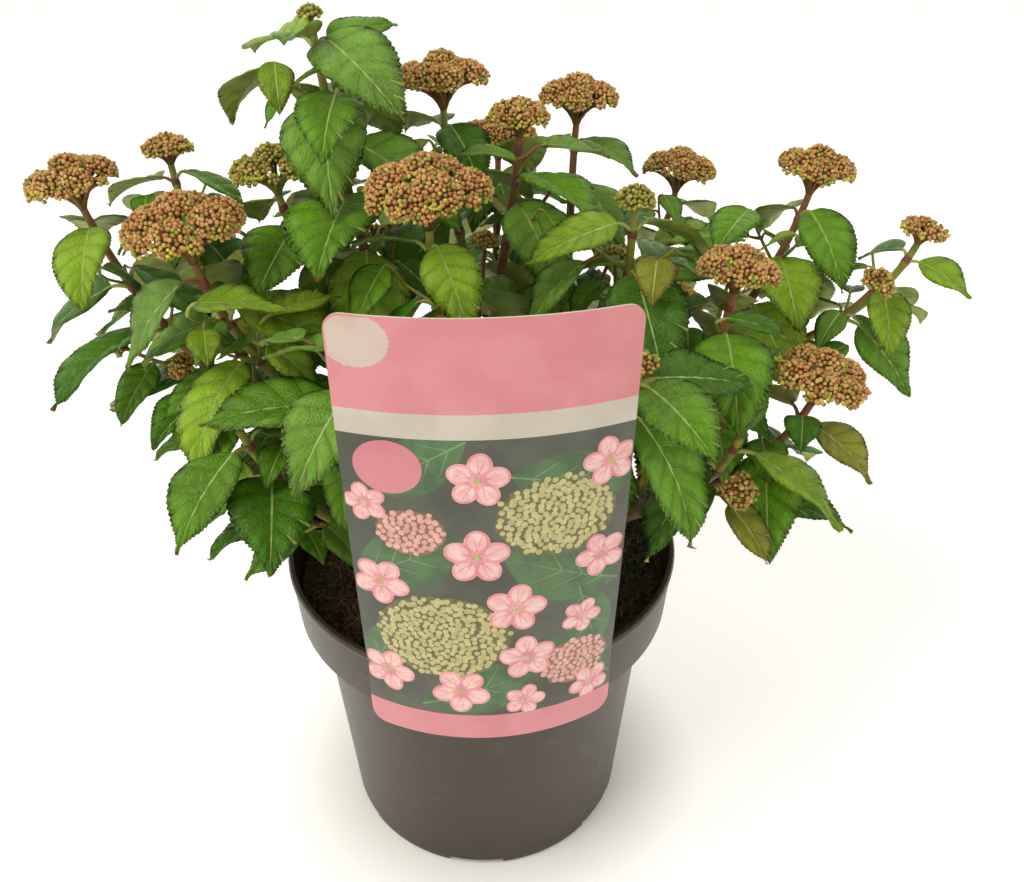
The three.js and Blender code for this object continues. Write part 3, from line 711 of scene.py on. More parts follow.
def leaf_finish(name, colour, light, edge, gloss=0.36):
    """Green with thin paler veins and a fine net between them, mottled, darker or tinted at the edge, with
    painted shade in the grooves beside the side veins.
    """
    finish = Finish(name, Specular_IOR_Level=0.26)
    spot = finish.place("UV")
    parts = {key: finish.node("ShaderNodeSeparateXYZ", {}, {"Vector": spot}, key) for key in "XY"}
    wave = finish.node("ShaderNodeMath", {"operation": "PINGPONG"}, {0: parts["X"], 1: 0.5})
    vein = (1 - finish.steps(wave, 0.006, 0.045)) * (1 - parts["Y"] * 0.8)
    groove_shade = 1 - finish.steps(wave, 0.02, 0.17)
    net_place = finish.node("ShaderNodeVectorMath", {"operation": "MULTIPLY"}, {0: spot, 1: (2.4, 10.0, 1.0)})
    cells = {"Vector": net_place, "Scale": 1.6}
    net = finish.node("ShaderNodeTexVoronoi", {"feature": "DISTANCE_TO_EDGE"}, cells, "Distance")
    line = 1 - finish.steps(net, 0.0, 0.13)
    cloud = finish.noise(26.0, 3.0)
    shade = finish.mix(finish.steps(cloud, 0.34, 0.66), tone(colour, 0.66), tone(colour, 1.14))
    rim = finish.steps(parts["Y"] + finish.noise(90.0, 2.0) * 0.3, 0.86, 1.2)
    shade = finish.mix(rim * 0.45, shade, tone(edge))
    # Painted shade along the grooves beside the side veins.
    shade = finish.mix(groove_shade * 0.45, shade, tone(colour, 0.4))
    veined = finish.mix(vein * 0.62 + line * 0.3, shade, tone(light))
    finish.feed(Base_Color=veined, Roughness=finish.noise(140.0, 2.0) * 0.22 + (gloss - 0.1))
    return finish.relief(net * 1.2 - vein * 0.7, 0.0008, 0.7)


def plain_finish(name, colours, roughness, scale=120.0, depth=0.0002, **constants):
    """Two tones mixed by a cloudy pattern, with the same pattern as a slight relief and in the gloss."""
    finish = Finish(name, **constants)
    cloud = finish.noise(scale, 4.0)
    finish.feed(Base_Color=finish.mix(finish.steps(cloud, 0.3, 0.7), tone(colours[0]), tone(colours[1])))
    finish.feed(Roughness=cloud * 0.2 + (roughness - 0.1))
    return finish.relief(finish.noise(scale * 2.5, 3.0), depth)


LEAF_TINTS = [
    leaf_finish("leaf_fresh", "7da41a", "a8bf48", "90a62c"),
    leaf_finish("leaf_mid", "5c9012", "88ab3c", "568220"),
    leaf_finish("leaf_deep", "447811", "6e9636", "406a18"),
    leaf_finish("leaf_soft", "66942a", "94ae56", "6f903c"),
    leaf_finish("leaf_bronze", "828a20", "aca04a", "9a662c"),
]
UNDER, RIB, TIP = 5, 6, 7
LEAF_FINISHES = LEAF_TINTS + [
    plain_finish("leaf_underside", ("86963e", "9fac56"), 0.62),
    plain_finish("leaf_midrib", ("8aa350", "a6ba6c"), 0.5),
    plain_finish("leaf_tip", ("6b4426", "7d5630"), 0.5),
]
WOOD, BROWN, RED, ROSE, GREEN, PALE = range(6)
BARK_FINISHES = [
    plain_finish("old_wood", ("54402a", "7c6646"), 0.8, 400.0, 0.0008),
    plain_finish("brown_shoot", ("613c1e", "745a2a"), 0.5, 70.0, 0.0003, Specular_IOR_Level=0.3),
    plain_finish("red_node", ("5a2614", "7c3f22"), 0.45, 260.0),
    plain_finish("rose_shoot", ("6d5828", "84522e"), 0.5, 70.0, Specular_IOR_Level=0.3),
    plain_finish("green_shoot", ("6a7224", "8c8c3e"), 0.45, 120.0, Specular_IOR_Level=0.3),
    plain_finish("leaf_stalk", ("8b9646", "a6ae5c"), 0.5, 160.0),
]
BUD_FINISHES = [
    plain_finish("bud_salmon", ("b98348", "d09e66"), 0.6, 500.0),
    plain_finish("bud_rust", ("96642e", "b47e3f"), 0.6, 500.0),
    plain_finish("bud_tan", ("bd9a4c", "d4b566"), 0.6, 500.0),
    plain_finish("bud_olive", ("88832c", "a29c42"), 0.6, 500.0),
    plain_finish("bud_lime", ("b6b634", "d2cf4c"), 0.55, 500.0),
    # Dark cores inside the heads: painted shade between the buds.
    plain_finish("head_core", ("5e3c1c", "80582c"), 0.8, 500.0),
    plain_finish("green_head_core", ("4a5220", "66692a"), 0.8, 500.0),
]


# ---- Leaves ----


def leaf_skin(batch, leaf, cells, tint, tipped):
    """A blade as closed rings that follow its side veins: ring x runs from the midrib at m = x^1.12 to
    the margin at m + 0.23 sin(pi m), so a point t of the way out is at u = m + 0.23 sin(pi m) t^1.3.
    The skin swells between the veins by h |sin(pi phase)|, waves at the margin and has a toothed edge,
    and the tip curls down or up by c u^3."""
    rows = cells * 8
    x = np.arange(1, rows) / rows
    m = x[:, None] ** 1.12
    reach = m + 0.23 * np.sin(math.pi * m)
    size = leaf.length
    half = leaf.half_width(reach) * 1.1
    rib = np.minimum(0.62 * (1 - 0.72 * m) * math.sqrt(size / 60), 0.4 * half)
    signs = np.array([1, 1, 1, 1, -1, -1, -1, -1, -1, 0, 1.0])
    t = np.array([1, 0.66, 0.3, 0.02, 0.02, 0.3, 0.66, 1, 0.5, 0, 0.5])[None]
    columns = len(signs)
    top = np.arange(columns) < 8
    tooth = (np.arange(1, rows) % 2)[:, None] * (t == 1)
    away = np.where(t == 0.02, rib, t * half) + tooth * 0.014 * size * np.sin(math.pi * m) ** 0.6
    u = np.minimum(m + (reach - m) * t**1.3 + tooth * 0.009, 1)
    phase = cells * x[:, None] + np.where(signs > 0, 0, 1 / 3)
    swell = np.interp(t, [0, 0.02, 0.3, 0.66, 1], [0, -0.35, 0.85, 1, 0.3])
    puff = 0.032 * size * (np.abs(np.sin(math.pi * phase)) ** 0.8 - 0.4) * swell * np.sin(math.pi * m) ** 0.4
    turn = leaf.root[0] + leaf.root[2] + signs
    wave = 0.03 * size * t**2 * np.sin(2 * math.pi * (1.6 * x[:, None]) + turn)
    curl = size * (0.02 + 0.05 * math.sin(leaf.root[1] * 3)) * u**3
    depth = np.where(top | (t == 1), 0, np.where(signs == 0, 0.45 + 0.9 * (1 - m), 0.35))
    lift = away * math.sin(leaf.FOLD) * (1.1 - 0.5 * t**2) + puff + wave - depth - curl
    points = leaf.middle(u) + leaf.side * (signs * away * math.cos(leaf.FOLD))[..., None]
    points = points + leaf.above(u) * lift[..., None]
    tones = np.full((rows - 2, columns), tint)
    tones[:, 7:] = UNDER
    tones[:, 3] = RIB
    if tipped:
        tones[int(rows * 0.93) :] = TIP
    spots = np.stack([np.broadcast_to(phase, u.shape), np.broadcast_to(t * 1.0, u.shape)], axis=-1)
    batch.skin(points, tones, leaf.base, leaf.middle(1), spots)


def dealt(weights, value):
    """The index that a value from 0 to 1 falls on among weights that add up to 1."""
    return int(min(np.searchsorted(np.cumsum(weights), value), len(weights) - 1))


def grow_young_leaves(shoot):
    """Small leaves in the axils, where there is room for them."""
    for k, (t, turn) in enumerate(shoot.nodes()):
        for side in (0, 1):
            if chance(shoot.number, k, 30 + side) < 0.25:
                continue
            length = shoot.leaf * (0.26 + 0.2 * chance(shoot.number, k, 32 + side))
            lean = 35 if chance(shoot.number, k, 34 + side) < 0.5 else -35
            angle = turn + side * math.pi + math.radians(lean)
            place = shoot.limb.frame(t + 2.5 / shoot.limb.length)
            shape = (length, math.radians(8), math.radians(24), 0.0)
            shoot.place_leaf(place, angle, shape, (1, 0.7))


def grow_fine_twigs(shoot):
    """Short green twigs in the axils, with a pair or two of leaves, kept within the plant's own reach."""
    low, high = (np.array(corner) / METRES for corner in cad_box)

    def any_of(question, a, b):
        return a + (b - a) * chance(shoot.number, place, question)

    for k, (t, turn) in enumerate(shoot.nodes()[: shoot.pairs - 1]):
        for side in (0, 1):
            place = 60 + 2 * k + side
            start = shoot.limb.frame(t + 1.5 / shoot.limb.length)
            away = outwards(start, turn + side * math.pi + math.radians(any_of(1, 50, 130)))
            heading = unit(away + start[1] * 0.6 + UP * 0.2)
            tip = start[0] + heading * any_of(2, 12, 30)
            limb = Limb(start[0], heading, tip, unit(heading + UP * 0.7), 0.95, 0.6)
            boxes = limb_boxes(limb, 2)
            if room.blocked(boxes, shoot.number):
                continue
            room.take(boxes, shoot.number)
            before = len(shoot.leaves)
            for pair, share in enumerate((0.96, 0.5)):
                for half in (0, 1):
                    length = shoot.leaf * any_of(3 + half + 2 * pair, 0.36, 0.66)
                    droop = math.radians(any_of(8 + half, 4, 34))
                    bend = math.radians(any_of(10 + half, 18, 38))
                    angle = pair * math.pi / 2 + half * math.pi + any_of(12, 0, 2)
                    spot = limb.frame(share + half / limb.length)
                    shoot.place_leaf(spot, angle, (length, droop, bend, 0.0), (1, 0.65), (0, -24), 3)
            fresh = [(leaf, leaf.middle(1)) for leaf in shoot.leaves[before:]]
            inside = [leaf for leaf, end in fresh if (end > low + 2).all() and (end < high - 2).all()]
            shoot.leaves[before:] = inside
            if inside:
                shoot.fine.append(limb)


def grow_rosette(shoot):
    """The half-grown leaves that stand round the tip of a shoot whose head is still small."""
    for i in range(4):
        place = shoot.limb.frame(0.965 - 0.015 * (i % 2))
        length = shoot.leaf * (0.44 - 0.04 * (i // 2))
        angle = math.radians(15 + 135 * (i % 2) + 60 * (i // 2))
        shape = (length, math.radians(-22), math.radians(34), 0.3)
        shoot.place_leaf(place, angle, shape, (1, 0.8, 0.6))


ROSETTE_HEAD = 22
for shoot in shoots:
    if 0 < shoot.head < ROSETTE_HEAD:
        grow_rosette(shoot)
for shoot in shoots:
    grow_young_leaves(shoot)
for shoot in shoots:
    grow_fine_twigs(shoot)

batches = [Batch() for _ in range(4)]
stalks = Batch()
for shoot in shoots:
    for i, leaf in enumerate(shoot.leaves):
        value = chance(shoot.number, i, 40)
        # Tints are dealt at random and lean by height as painted light and shade: higher leaves get the paler
        # tints more often, lower ones the darker.
        high = min(1, max(0, (leaf.base[2] - 220) / 120))
        weights = (0.1 + 0.2 * high, 0.34, 0.34 - 0.22 * high, 0.17 + 0.02 * high, 0.05)
        tint = dealt(weights, value)
        cells = 7 if leaf.length > 34 else 4
        leaf_skin(batches[shoot.number % 4], leaf, cells, tint, chance(shoot.number, i, 41) < 0.45)
        bend = leaf.base - leaf.midrib * np.linalg.norm(leaf.base - leaf.root) * 0.35
        path = curve(leaf.root, bend, leaf.base + leaf.midrib * 0.05 * leaf.length, steps=7)
        thick = math.sqrt(leaf.length / 60)
        stalks.tube(path, np.linspace(1.35, 0.75, 7) * thick, 6, PALE if value < 0.8 else ROSE)
foliage_nodes = [f"foliage_{row[0]}" for row in SHOOTS]
for batch, side in zip(batches, "abcd"):
    batch.make(f"leaves_{side}", LEAF_FINISHES, "foliage", foliage_nodes)


# ---- Shoots and twigs ----


GREENER = ("left_mid", "left_tall", "centre_right")


def ridges(angle, along, seed, count=7):
    """A seeded relief from -1 to 1: waves of n ridges round the limb that wander along it."""
    draw = np.random.default_rng(seed)
    total = 0
    for n in range(1, count + 1):
        phase, drift = draw.uniform(0, 6.28), draw.uniform(-0.25, 0.25)
        wave = np.sin(n * 2 * angle + drift * along + phase)
        total = total + wave * draw.uniform(0.4, 1) / math.sqrt(count)
    return total


def limb_rings(limb, t, radii, sides, seed, relief):
    """Rings about a limb with the radii given for each share t, roughened by the seeded ridges."""
    at, along, across, other = limb.frame(np.clip(t, 0, 1))
    at = at + along * (np.minimum(t, 0) * limb.length)[:, None]
    angle = np.arange(sides) * 2 * math.pi / sides
    rough = radii[:, None] * (1 + relief * ridges(angle[None], t[:, None] * limb.length, seed))
    return at[:, None] + circle_ways(across, other, sides) * rough[..., None]


def shoot_skin(batch, shoot):
    """A shoot with a collar at its foot, a swelling at each node, and its tones dealt out between nodes."""
    limb = shoot.limb
    sink = (4 if not shoot.source else 3.5) / limb.length
    t = np.linspace(-sink, 1, int(limb.length / 1.7))
    nodes = np.array([0.13, 0.27] + [place for place, _ in shoot.nodes()])
    near = np.exp(-(((t[:, None] - nodes) * limb.length / 2.1) ** 2)).sum(axis=1)
    collar = np.exp(-((np.maximum(t, 0) * limb.length / 5) ** 2))
    radii = limb.radius(np.clip(t, 0, 1)) * (1 + 0.32 * near + 0.22 * collar)
    rough = np.where(t < BARE, 0.05, 0.02)[:, None]
    kind = chance(shoot.number, 1, 50)
    upper = BROWN if kind < 0.3 else GREEN
    tones = np.where(t < BARE * 0.75, WOOD, upper)
    tones = np.where(t > nodes[-1] - 0.12, GREEN if kind > 0.7 or shoot.name in GREENER else ROSE, tones)
    tones = np.where((near > 0.45) & (t > BARE * 0.6), RED, tones)
    batch.skin(limb_rings(limb, t, radii, 14, shoot.number, rough), tones[:-1])


twigs = Batch()
for shoot in shoots:
    shoot_skin(twigs, shoot)
    for limb, number in shoot.twigs:
        t = np.linspace(0, 1, 16)
        radii = limb.radius(t) * (1 + 0.3 * np.exp(-(((t - 0.55) * limb.length / 2) ** 2)))
        twigs.skin(limb_rings(limb, t, radii, 8, number, 0.03), GREEN if number % 20 else ROSE)
    for limb in shoot.fine:
        t = np.linspace(0, 1, 8)
        twigs.skin(limb_rings(limb, t, limb.radius(t), 6, 3, 0.03), GREEN)


def knuckle(batch):
    """The woody crown: half a ball with a relief of ridges, and short stubs of cut stems."""
    rise = np.linspace(-0.1, 1.5, 16)
    angle = np.arange(36) * 2 * math.pi / 36
    radius = CROWN_RADIUS * (1 + 0.07 * ridges(angle[None] * 1.0, rise[:, None] * 22, 5))
    x = radius * np.cos(rise)[:, None] * np.cos(angle)
    y = radius * np.cos(rise)[:, None] * np.sin(angle)
    z = CROWN[2] + radius * np.sin(rise)[:, None]
    batch.skin(np.stack([x, y, z], axis=-1), WOOD)
    for bearing in (10, 110, 200, 290):
        way = unit(compass(bearing, 1.0, 0.9))
        path = CROWN + way * np.linspace(11, 21, 5)[:, None]
        batch.tube(path, np.array([3.1, 3.0, 2.9, 2.9, 2.4]), 12, WOOD)


knuckle(twigs)
stem_nodes = [f"stem_{row[0]}" for row in SHOOTS]
twigs.make("shoots", BARK_FINISHES, "bark", ["crown"] + stem_nodes + foliage_nodes)


# ---- Flower heads in bud ----

BUD = bead_shape(6, [(0.72, -0.42), (0.86, 0.3)])
# A dark core in each cushion: painted shade that fills the gaps between the buds.
CORE = bead_shape(10, [(0.7, -0.45), (1.0, 0.05), (0.75, 0.65)])
SEPAL, SHADED_CORE_BROWN, SHADED_CORE_GREEN = 4, 5, 6
BUD_SPACING, CUSHION_SWEEP = 2.2, 1.75
SHRINK, SMALL_HEAD = 0.94, 20


def cushion(centre, axis, size):
    """Points and ways out over a flattened cushion: turns of the golden angle, evenly spaced in height."""
    sweep = 1 - math.cos(CUSHION_SWEEP)
    area = 2 * math.pi * size**2 * sweep
    count = max(8, int(area / (BUD_SPACING**2 * 0.87)))
    height = 1 - (np.arange(count) + 0.5) / count * sweep
    angle = np.arange(count) * math.pi * GOLDEN + centre[0]
    x = unit(np.cross(axis, (0.3, 1, 0.2)))
    y = np.cross(axis, x)
    flat = np.sqrt(1 - height**2)
    ways = np.outer(flat * np.cos(angle), x) + np.outer(flat * np.sin(angle), y) + np.outer(height, axis)
    return centre + (ways - np.outer(height, axis) * 0.3) * size, ways


def lumps(head):
    """The middles, ways and sizes of a head's cushions: one, or a ring round a middle one, and small ones
    that stand out at the rim."""
    w = head.width * SHRINK
    if w < SMALL_HEAD:
        ring, away, size = 4, 0.2 * w, 0.26 * w
    else:
        ring, away, size = (5 if w < 40 else 6), 0.335 * w, (0.185 if w < 40 else 0.168) * w
    angle = np.arange(ring) * 2 * math.pi / ring + head.turn
    wobble = 1 + 0.13 * np.sin(angle * 3 + w)
    outer = head.point(away * wobble, angle + 0.2 * np.sin(angle * 2 + w), -0.1 * w * wobble)
    middles = [head.point(0, 0, 0.02 * w)[None], outer]
    sizes = [np.array([size * 1.04]), size * (1.9 - 0.9 * wobble)]
    if w >= SMALL_HEAD:
        spare = (np.arange(ring) + 0.5) * 2 * math.pi / ring + head.turn
        middles.append(head.point(0.42 * w, spare, -0.15 * w - 0.03 * w * np.sin(spare * 5)))
        sizes.append(size * (0.42 + 0.12 * np.sin(spare * 7)))
    middles, sizes = np.concatenate(middles), np.concatenate(sizes)
    return middles, unit(middles - head.point(0, 0, -0.6 * w)), sizes


def head_skin(buds, rays, head, shoot):
    """Cushions of buds on branching rays, each over a dark core of painted shade, and a few yellow-green
    sepals at the rim.
    """
    w = head.width * SHRINK
    centres, ways, cushion_sizes = lumps(head)
    green = 0.06 + (0.5 if shoot.name in GREENER else 0) + (0.25 if w < SMALL_HEAD else 0)
    for i, (centre, way, size) in enumerate(zip(centres, ways, cushion_sizes)):
        at, out = cushion(centre, way, size)
        apart = np.linalg.norm(at[:, None] - centres[None], axis=-1) / cushion_sizes
        apart[:, i] = 1e9
        keep = apart.min(axis=1) > 0.86
        at, out = at[keep], out[keep]
        at = at + random.normal(0, 0.3, at.shape)
        sizes = random.uniform(0.92, 1.34, len(at))
        share = random.uniform(0, 1, len(at))
        low = (out @ head.axis) < 0.1
        share = np.where(low, share + 0.25, share)
        shades = np.searchsorted([0.5 - green, 0.74 - green, 0.95 - green, 1.16], share)
        buds.copies(BUD, (at, bases(out, sizes, random.uniform(0, 6.28, len(at)))), shades)
        # The cushion's dark core, painted shade under its buds.
        core = bases(way[None], [0.82 * size]) * (1, 1, 0.62)
        buds.copies(CORE, (centre[None], core), [SHADED_CORE_GREEN if shoot.name in GREENER else SHADED_CORE_BROWN])
        root = centre - way * size * 0.4
        bend = head.hub + head.axis * 0.35 * np.linalg.norm(root - head.hub) + (root - head.hub) * 0.25
        thick = 1.3 if w > SMALL_HEAD else 0.8
        shade = GREEN if shoot.name in GREENER else (ROSE, BROWN)[shoot.number % 2]
        ray = curve(head.hub - head.axis * 1.5, bend, root)
        rays.tube(ray, np.linspace(thick, 0.7, len(ray)), 6, shade)
        for end in at[:: max(1, len(at) // 9)]:
            path = curve(root - way * 0.1, root + (end - root) * 0.5 + way * 0.1 * size, end, steps=3)
            rays.tube(path, np.array([0.6, 0.48, 0.4]), 4, shade)
    if w >= SMALL_HEAD:
        count = int(chance(shoot.number, 2, 61) * 4)
        angle = random.uniform(0, 6.28, count)
        for middle, turn in zip(head.point(0.47 * w, angle, -0.13 * w), angle):
            around = np.arange(4) * math.pi / 2 + turn
            ways = head.point(1.0, around, 0.55) - head.top
            stretch = bases(ways, np.full(4, 1.0)) * (1.5, 0.7, 1.9)
            buds.copies(BUD, (middle + unit(ways) * 1.5, stretch), np.full(4, SEPAL))


buds = [Batch(), Batch()]
for shoot in shoots:
    for head in shoot.heads:
        head_skin(buds[shoot.number % 2], stalks, head, shoot)
for batch, side in zip(buds, "ab"):
    batch.make(f"buds_{side}", BUD_FINISHES, "foliage", foliage_nodes)
stalks.make("leaf_stalks", BARK_FINISHES, "foliage", foliage_nodes)


# ---- The pot ----


def lathe(batch, profile, sides):
    """A profile of (radius, height) from the axis to the axis, turned about +Z."""
    profile = np.array(profile, float)
    angle = np.arange(sides) * 2 * math.pi / sides
    circle = np.stack([np.cos(angle), np.sin(angle)], axis=-1)
    heights = np.broadcast_to(profile[1:-1, None, 1:], (len(profile) - 2, sides, 1))
    rings = np.concatenate([profile[1:-1, None, :1] * circle, heights], axis=-1)
    ends = [np.array([0, 0, profile[i, 1]]) for i in (0, -1)]
    batch.skin(rings, 0, *ends)


def rounded(points, radius):
    """A profile whose inner corners are cut by arcs, each a quadratic curve between two near points."""
    points = np.array(points, float)
    out = [points[:1]]
    for before, here, after in zip(points, points[1:], points[2:]):
        reach = min(radius, np.linalg.norm(before - here) / 2.2, np.linalg.norm(after - here) / 2.2)
        start, end = here + unit(before - here) * reach, here + unit(after - here) * reach
        out.append(curve(start, here, end, steps=4))
    return np.concatenate(out + [points[-1:]])


outer_wall = [
    (0, 0), (BASE - 1.5, 0), (BASE, 1.5), (BASE + 0.4, 7), (BASE + 0.7, 12), (SHOULDER, BAND_FOOT - STEP),
    (BAND - BAND_TAPER, BAND_FOOT), (BAND, POT_HEIGHT - 4),
    (POT_RIM, POT_HEIGHT - 3), (POT_RIM, POT_HEIGHT - 1), (POT_RIM - 0.8, POT_HEIGHT),
]
inner_wall = [
    (BAND - WALL, POT_HEIGHT), (BAND - BAND_TAPER - WALL, BAND_FOOT + WALL),
    (SHOULDER - WALL, BAND_FOOT - STEP + WALL), (BASE - WALL, FLOOR), (0, FLOOR),
]


def cut_drains(piece):
    """The ring of low drain gaps under the lower corner, cut by one joined cutter."""
    cutter = Batch()
    for i in range(DRAINS):
        angle = DRAIN_TURN + i * 2 * math.pi / DRAINS
        x = np.array([math.cos(angle), math.sin(angle), 0])
        y = np.cross(UP, x)
        ends = ((-7, -DRAIN_HALF), (7, -DRAIN_HALF), (7, DRAIN_HALF), (-7, DRAIN_HALF))
        square = np.array([x * a + y * b for a, b in ends]) + x * BASE
        cutter.skin(np.stack([square - UP * 2, square + UP * DRAIN_HEIGHT]))
    tool = bpy.data.objects.new("cutter", cutter.mesh("cutter", []))
    bpy.context.scene.collection.objects.link(tool)
    change = piece.modifiers.new("drains", "BOOLEAN")
    change.object, change.operation, change.solver = tool, "DIFFERENCE", "EXACT"
    graph = bpy.context.evaluated_depsgraph_get()
    cut = bpy.data.meshes.new_from_object(piece.evaluated_get(graph), depsgraph=graph)
    piece.modifiers.clear()
    piece.data = cut
    bpy.data.objects.remove(tool)
    cut.set_sharp_from_angle(angle=math.radians(CREASE))


def pot_finish():
    """Moulded black plastic, greyed in patches by dust and scuffs, with fine flow marks."""
    finish = Finish("pot_plastic", Specular_IOR_Level=0.42)
    cloud, fine = finish.noise(14.0, 4.0), finish.noise(420.0, 3.0)
    scuff = finish.steps(finish.noise(60.0, 6.0, roughness=0.7), 0.56, 0.74)
    shade = finish.mix(finish.steps(cloud, 0.3, 0.7), tone("2b2012"), tone("362a19"))
    finish.feed(Base_Color=finish.mix(scuff * 0.25, shade, tone("6b5f4e")))
    finish.feed(Roughness=cloud * 0.16 + fine * 0.1 + 0.26)
    return finish.relief(fine + cloud * 0.6, 0.00015, 0.6)


POT_SIDES, CREASE = 176, 32
pot = Batch()
lathe(pot, np.concatenate([rounded(outer_wall, 1.0), rounded(inner_wall, 1.2)]), POT_SIDES)
pot_piece = pot.make("pot_shell", [pot_finish()], "pot_plastic", ["pot"], CREASE)
cut_drains(pot_piece)


# ---- The soil ----


def soil_height(x, y):
    """A low mound roughened by many waves of random direction, 3 to 30 mm long."""
    draw = np.random.default_rng(8)
    height = SOIL_LEVEL - 1.6 + SOIL_MOUND * np.clip(1 - np.hypot(x, y) / 91, 0, 1)
    for length in np.geomspace(3.2, 32, 46):
        angle, phase = draw.uniform(0, math.pi), draw.uniform(0, 2 * math.pi)
        wave = np.sin((x * math.cos(angle) + y * math.sin(angle)) * 2 * math.pi / length + phase)
        height = height + wave * 0.05 * length**0.62
    return height


soil = Batch()
angle = np.arange(200) * 2 * math.pi / 200
reach = np.concatenate([[70.9, 79.6, 89.2, 90.6], np.linspace(90.9, 2.5, 66)])[:, None]
x, y = reach * np.cos(angle), reach * np.sin(angle)
z = soil_height(x, y)
z[:4] = np.array([3.3, 128.0, 134.2, 141.0])[:, None]
soil.skin(np.stack([x, y, z], axis=-1), 0)
lump = bead_shape(6, [(0.8, -0.4), (0.95, 0.25)])
count = 2600
bearing, far = random.uniform(0, 2 * math.pi, count), 90 * np.sqrt(random.uniform(0.02, 0.93, count))
x, y = far * np.cos(bearing), far * np.sin(bearing)
size = random.uniform(0.5, 1.0, count) ** 2 * 2.6
at = np.stack([x, y, soil_height(x, y) + size * 0.2], axis=-1)
stretch = bases(random.normal(0, 1, (count, 3)), size) * random.uniform(0.5, 1.2, (count, 1, 3))
soil.copies(lump, (at, stretch), random.integers(0, 2, count))


def fibres(batch, count, length, thick, shade, where):
    """Thin roots that wander over the soil, each a random walk of directions smoothed by summing."""
    for _ in range(count):
        bearing, far = where()
        start = np.array([far * math.cos(bearing), far * math.sin(bearing)])
        turns = random.uniform(0, 2 * math.pi) + np.cumsum(random.normal(0, 0.5, 8))
        path = start + np.cumsum(np.stack([np.cos(turns), np.sin(turns)], axis=-1), axis=0) * length / 8
        path = path * np.minimum(1, 89 / np.maximum(1, np.hypot(*path.T)))[:, None]
        z = soil_height(path[:, 0], path[:, 1]) + random.uniform(0.3, 2.2, 8)
        batch.tube(np.column_stack([path, z]), np.linspace(thick, thick * 0.5, 8), 4, shade)


fibres(soil, 130, 24, 0.28, 2, lambda: (random.uniform(2.4, 4.2), random.uniform(50, 86)))
fibres(soil, 110, 20, 0.25, 2, lambda: (random.uniform(0, 6.28), random.uniform(20, 86)))
count = 700
bearing, far = random.normal(0.15, 0.35, count), np.clip(random.normal(72, 11, count), 30, 88)
x, y = far * np.cos(bearing), far * np.sin(bearing)
at = np.stack([x, y, soil_height(x, y) + 0.8], axis=-1)
ways = random.normal(0, 0.5, (count, 3)) + UP
soil.copies(lump, (at, bases(ways, random.uniform(0.5, 1.5, count)) * (0.5, 0.5, 1.5)), np.full(count, 3))
SOIL_FINISHES = [
    plain_finish("peat", ("2d221a", "4b3a2c"), 0.95, 260.0, 0.0012),
    plain_finish("peat_crumbs", ("352920", "5a4634"), 0.95, 500.0, 0.0008),
    plain_finish("root_fibres", ("6e4f35", "8f6c4b"), 0.8, 300.0),
    plain_finish("moss", ("3f4c1f", "5d6a2c"), 0.9, 400.0),
]
soil.make("soil_surface", SOIL_FINISHES, "peat", ["soil"])


# ---- The label ----

PINK, STRIP, GROUND, CARD_EDGE, BLUSH, DISC = range(6)
PETAL, PETAL_PALE, PETAL_DEEP, BEAD, BEAD_DARK = range(6, 11)
ROSY_BEAD, ROSY_DARK, PRINT_LEAF, PRINT_LEAF_PALE = range(11, 15)


def card_finish(name, low, high, scale=60.0):
    """Glossy printed card: two near tones in soft clouds, under a slightly uneven varnish."""
    finish = Finish(name, Specular_IOR_Level=0.5, Coat_Roughness=0.12)
    cloud = finish.noise(scale, 3.0)
    finish.feed(Base_Color=finish.mix(finish.steps(cloud, 0.35, 0.65), tone(low), tone(high)))
    finish.feed(Roughness=finish.noise(30.0) * 0.1 + 0.28, Coat_Weight=0.25)
    return finish.relief(finish.noise(25.0, 1.0), 0.0004, 0.3)


LABEL_FINISHES = [
    card_finish("print_pink", "c8787f", "ce8187"),
    card_finish("print_cream", "b7af9f", "bfb7a9"),
    card_finish("print_ground", "34382a", "4c4f40", 30.0),
    card_finish("card_edge", "d0c9bb", "dad4c8"),
    card_finish("print_blush", "bca89b", "c3b1a5"),
    card_finish("print_rose_disc", "c2717a", "c87a82"),
    card_finish("print_petal", "cf7d86", "df9f9f", 220.0),
    card_finish("print_petal_pale", "dda5a4", "e6c0b8", 220.0),
    card_finish("print_petal_deep", "bb5f6d", "c97480", 220.0),
    card_finish("print_bead", "a79f66", "bdb57f", 300.0),
    card_finish("print_bead_dark", "55502a", "6b6638", 300.0),
    card_finish("print_rosy_bead", "c98f86", "daa89c", 300.0),
    card_finish("print_rosy_dark", "7c5a44", "8e6a52", 300.0),
    card_finish("print_leaf", "34502c", "466a3a", 90.0),
    card_finish("print_leaf_pale", "567848", "6a8d5a", 90.0),
]
BAND_TOPS, BAND_TONES = [PICTURE_FOOT, PICTURE_TOP, STRIP_TOP], np.array([PINK, GROUND, STRIP, PINK])


def label_card(batch):
    """The bent card: rings of the front from left to right, then the back, from the foot to the top."""
    corner = LABEL_CORNER * (1 - np.cos(np.linspace(0, math.pi / 2, 9)))
    straight = np.linspace(LABEL_FOOT + LABEL_CORNER, LABEL_TOP - LABEL_CORNER, 60)
    z = np.unique(np.concatenate([LABEL_FOOT + corner, LABEL_TOP - corner, straight, BAND_TOPS]))
    end = np.maximum(0, LABEL_CORNER - np.minimum(z - LABEL_FOOT, LABEL_TOP - z))
    half = LABEL_WIDTH / 2 - LABEL_CORNER + np.sqrt(LABEL_CORNER**2 - end**2)
    share = np.linspace(-1, 1, 61)
    front = label_point(half[:, None] * share, z[:, None], 0)
    back = label_point(half[:, None] * share, z[:, None], CARD)
    tones = np.full((len(z) - 1, 122), CARD_EDGE)
    middle = (z[1:] + z[:-1]) / 2
    tones[:, :60] = BAND_TONES[np.searchsorted(BAND_TOPS, middle)][:, None]
    batch.sheet(front, back, tones)


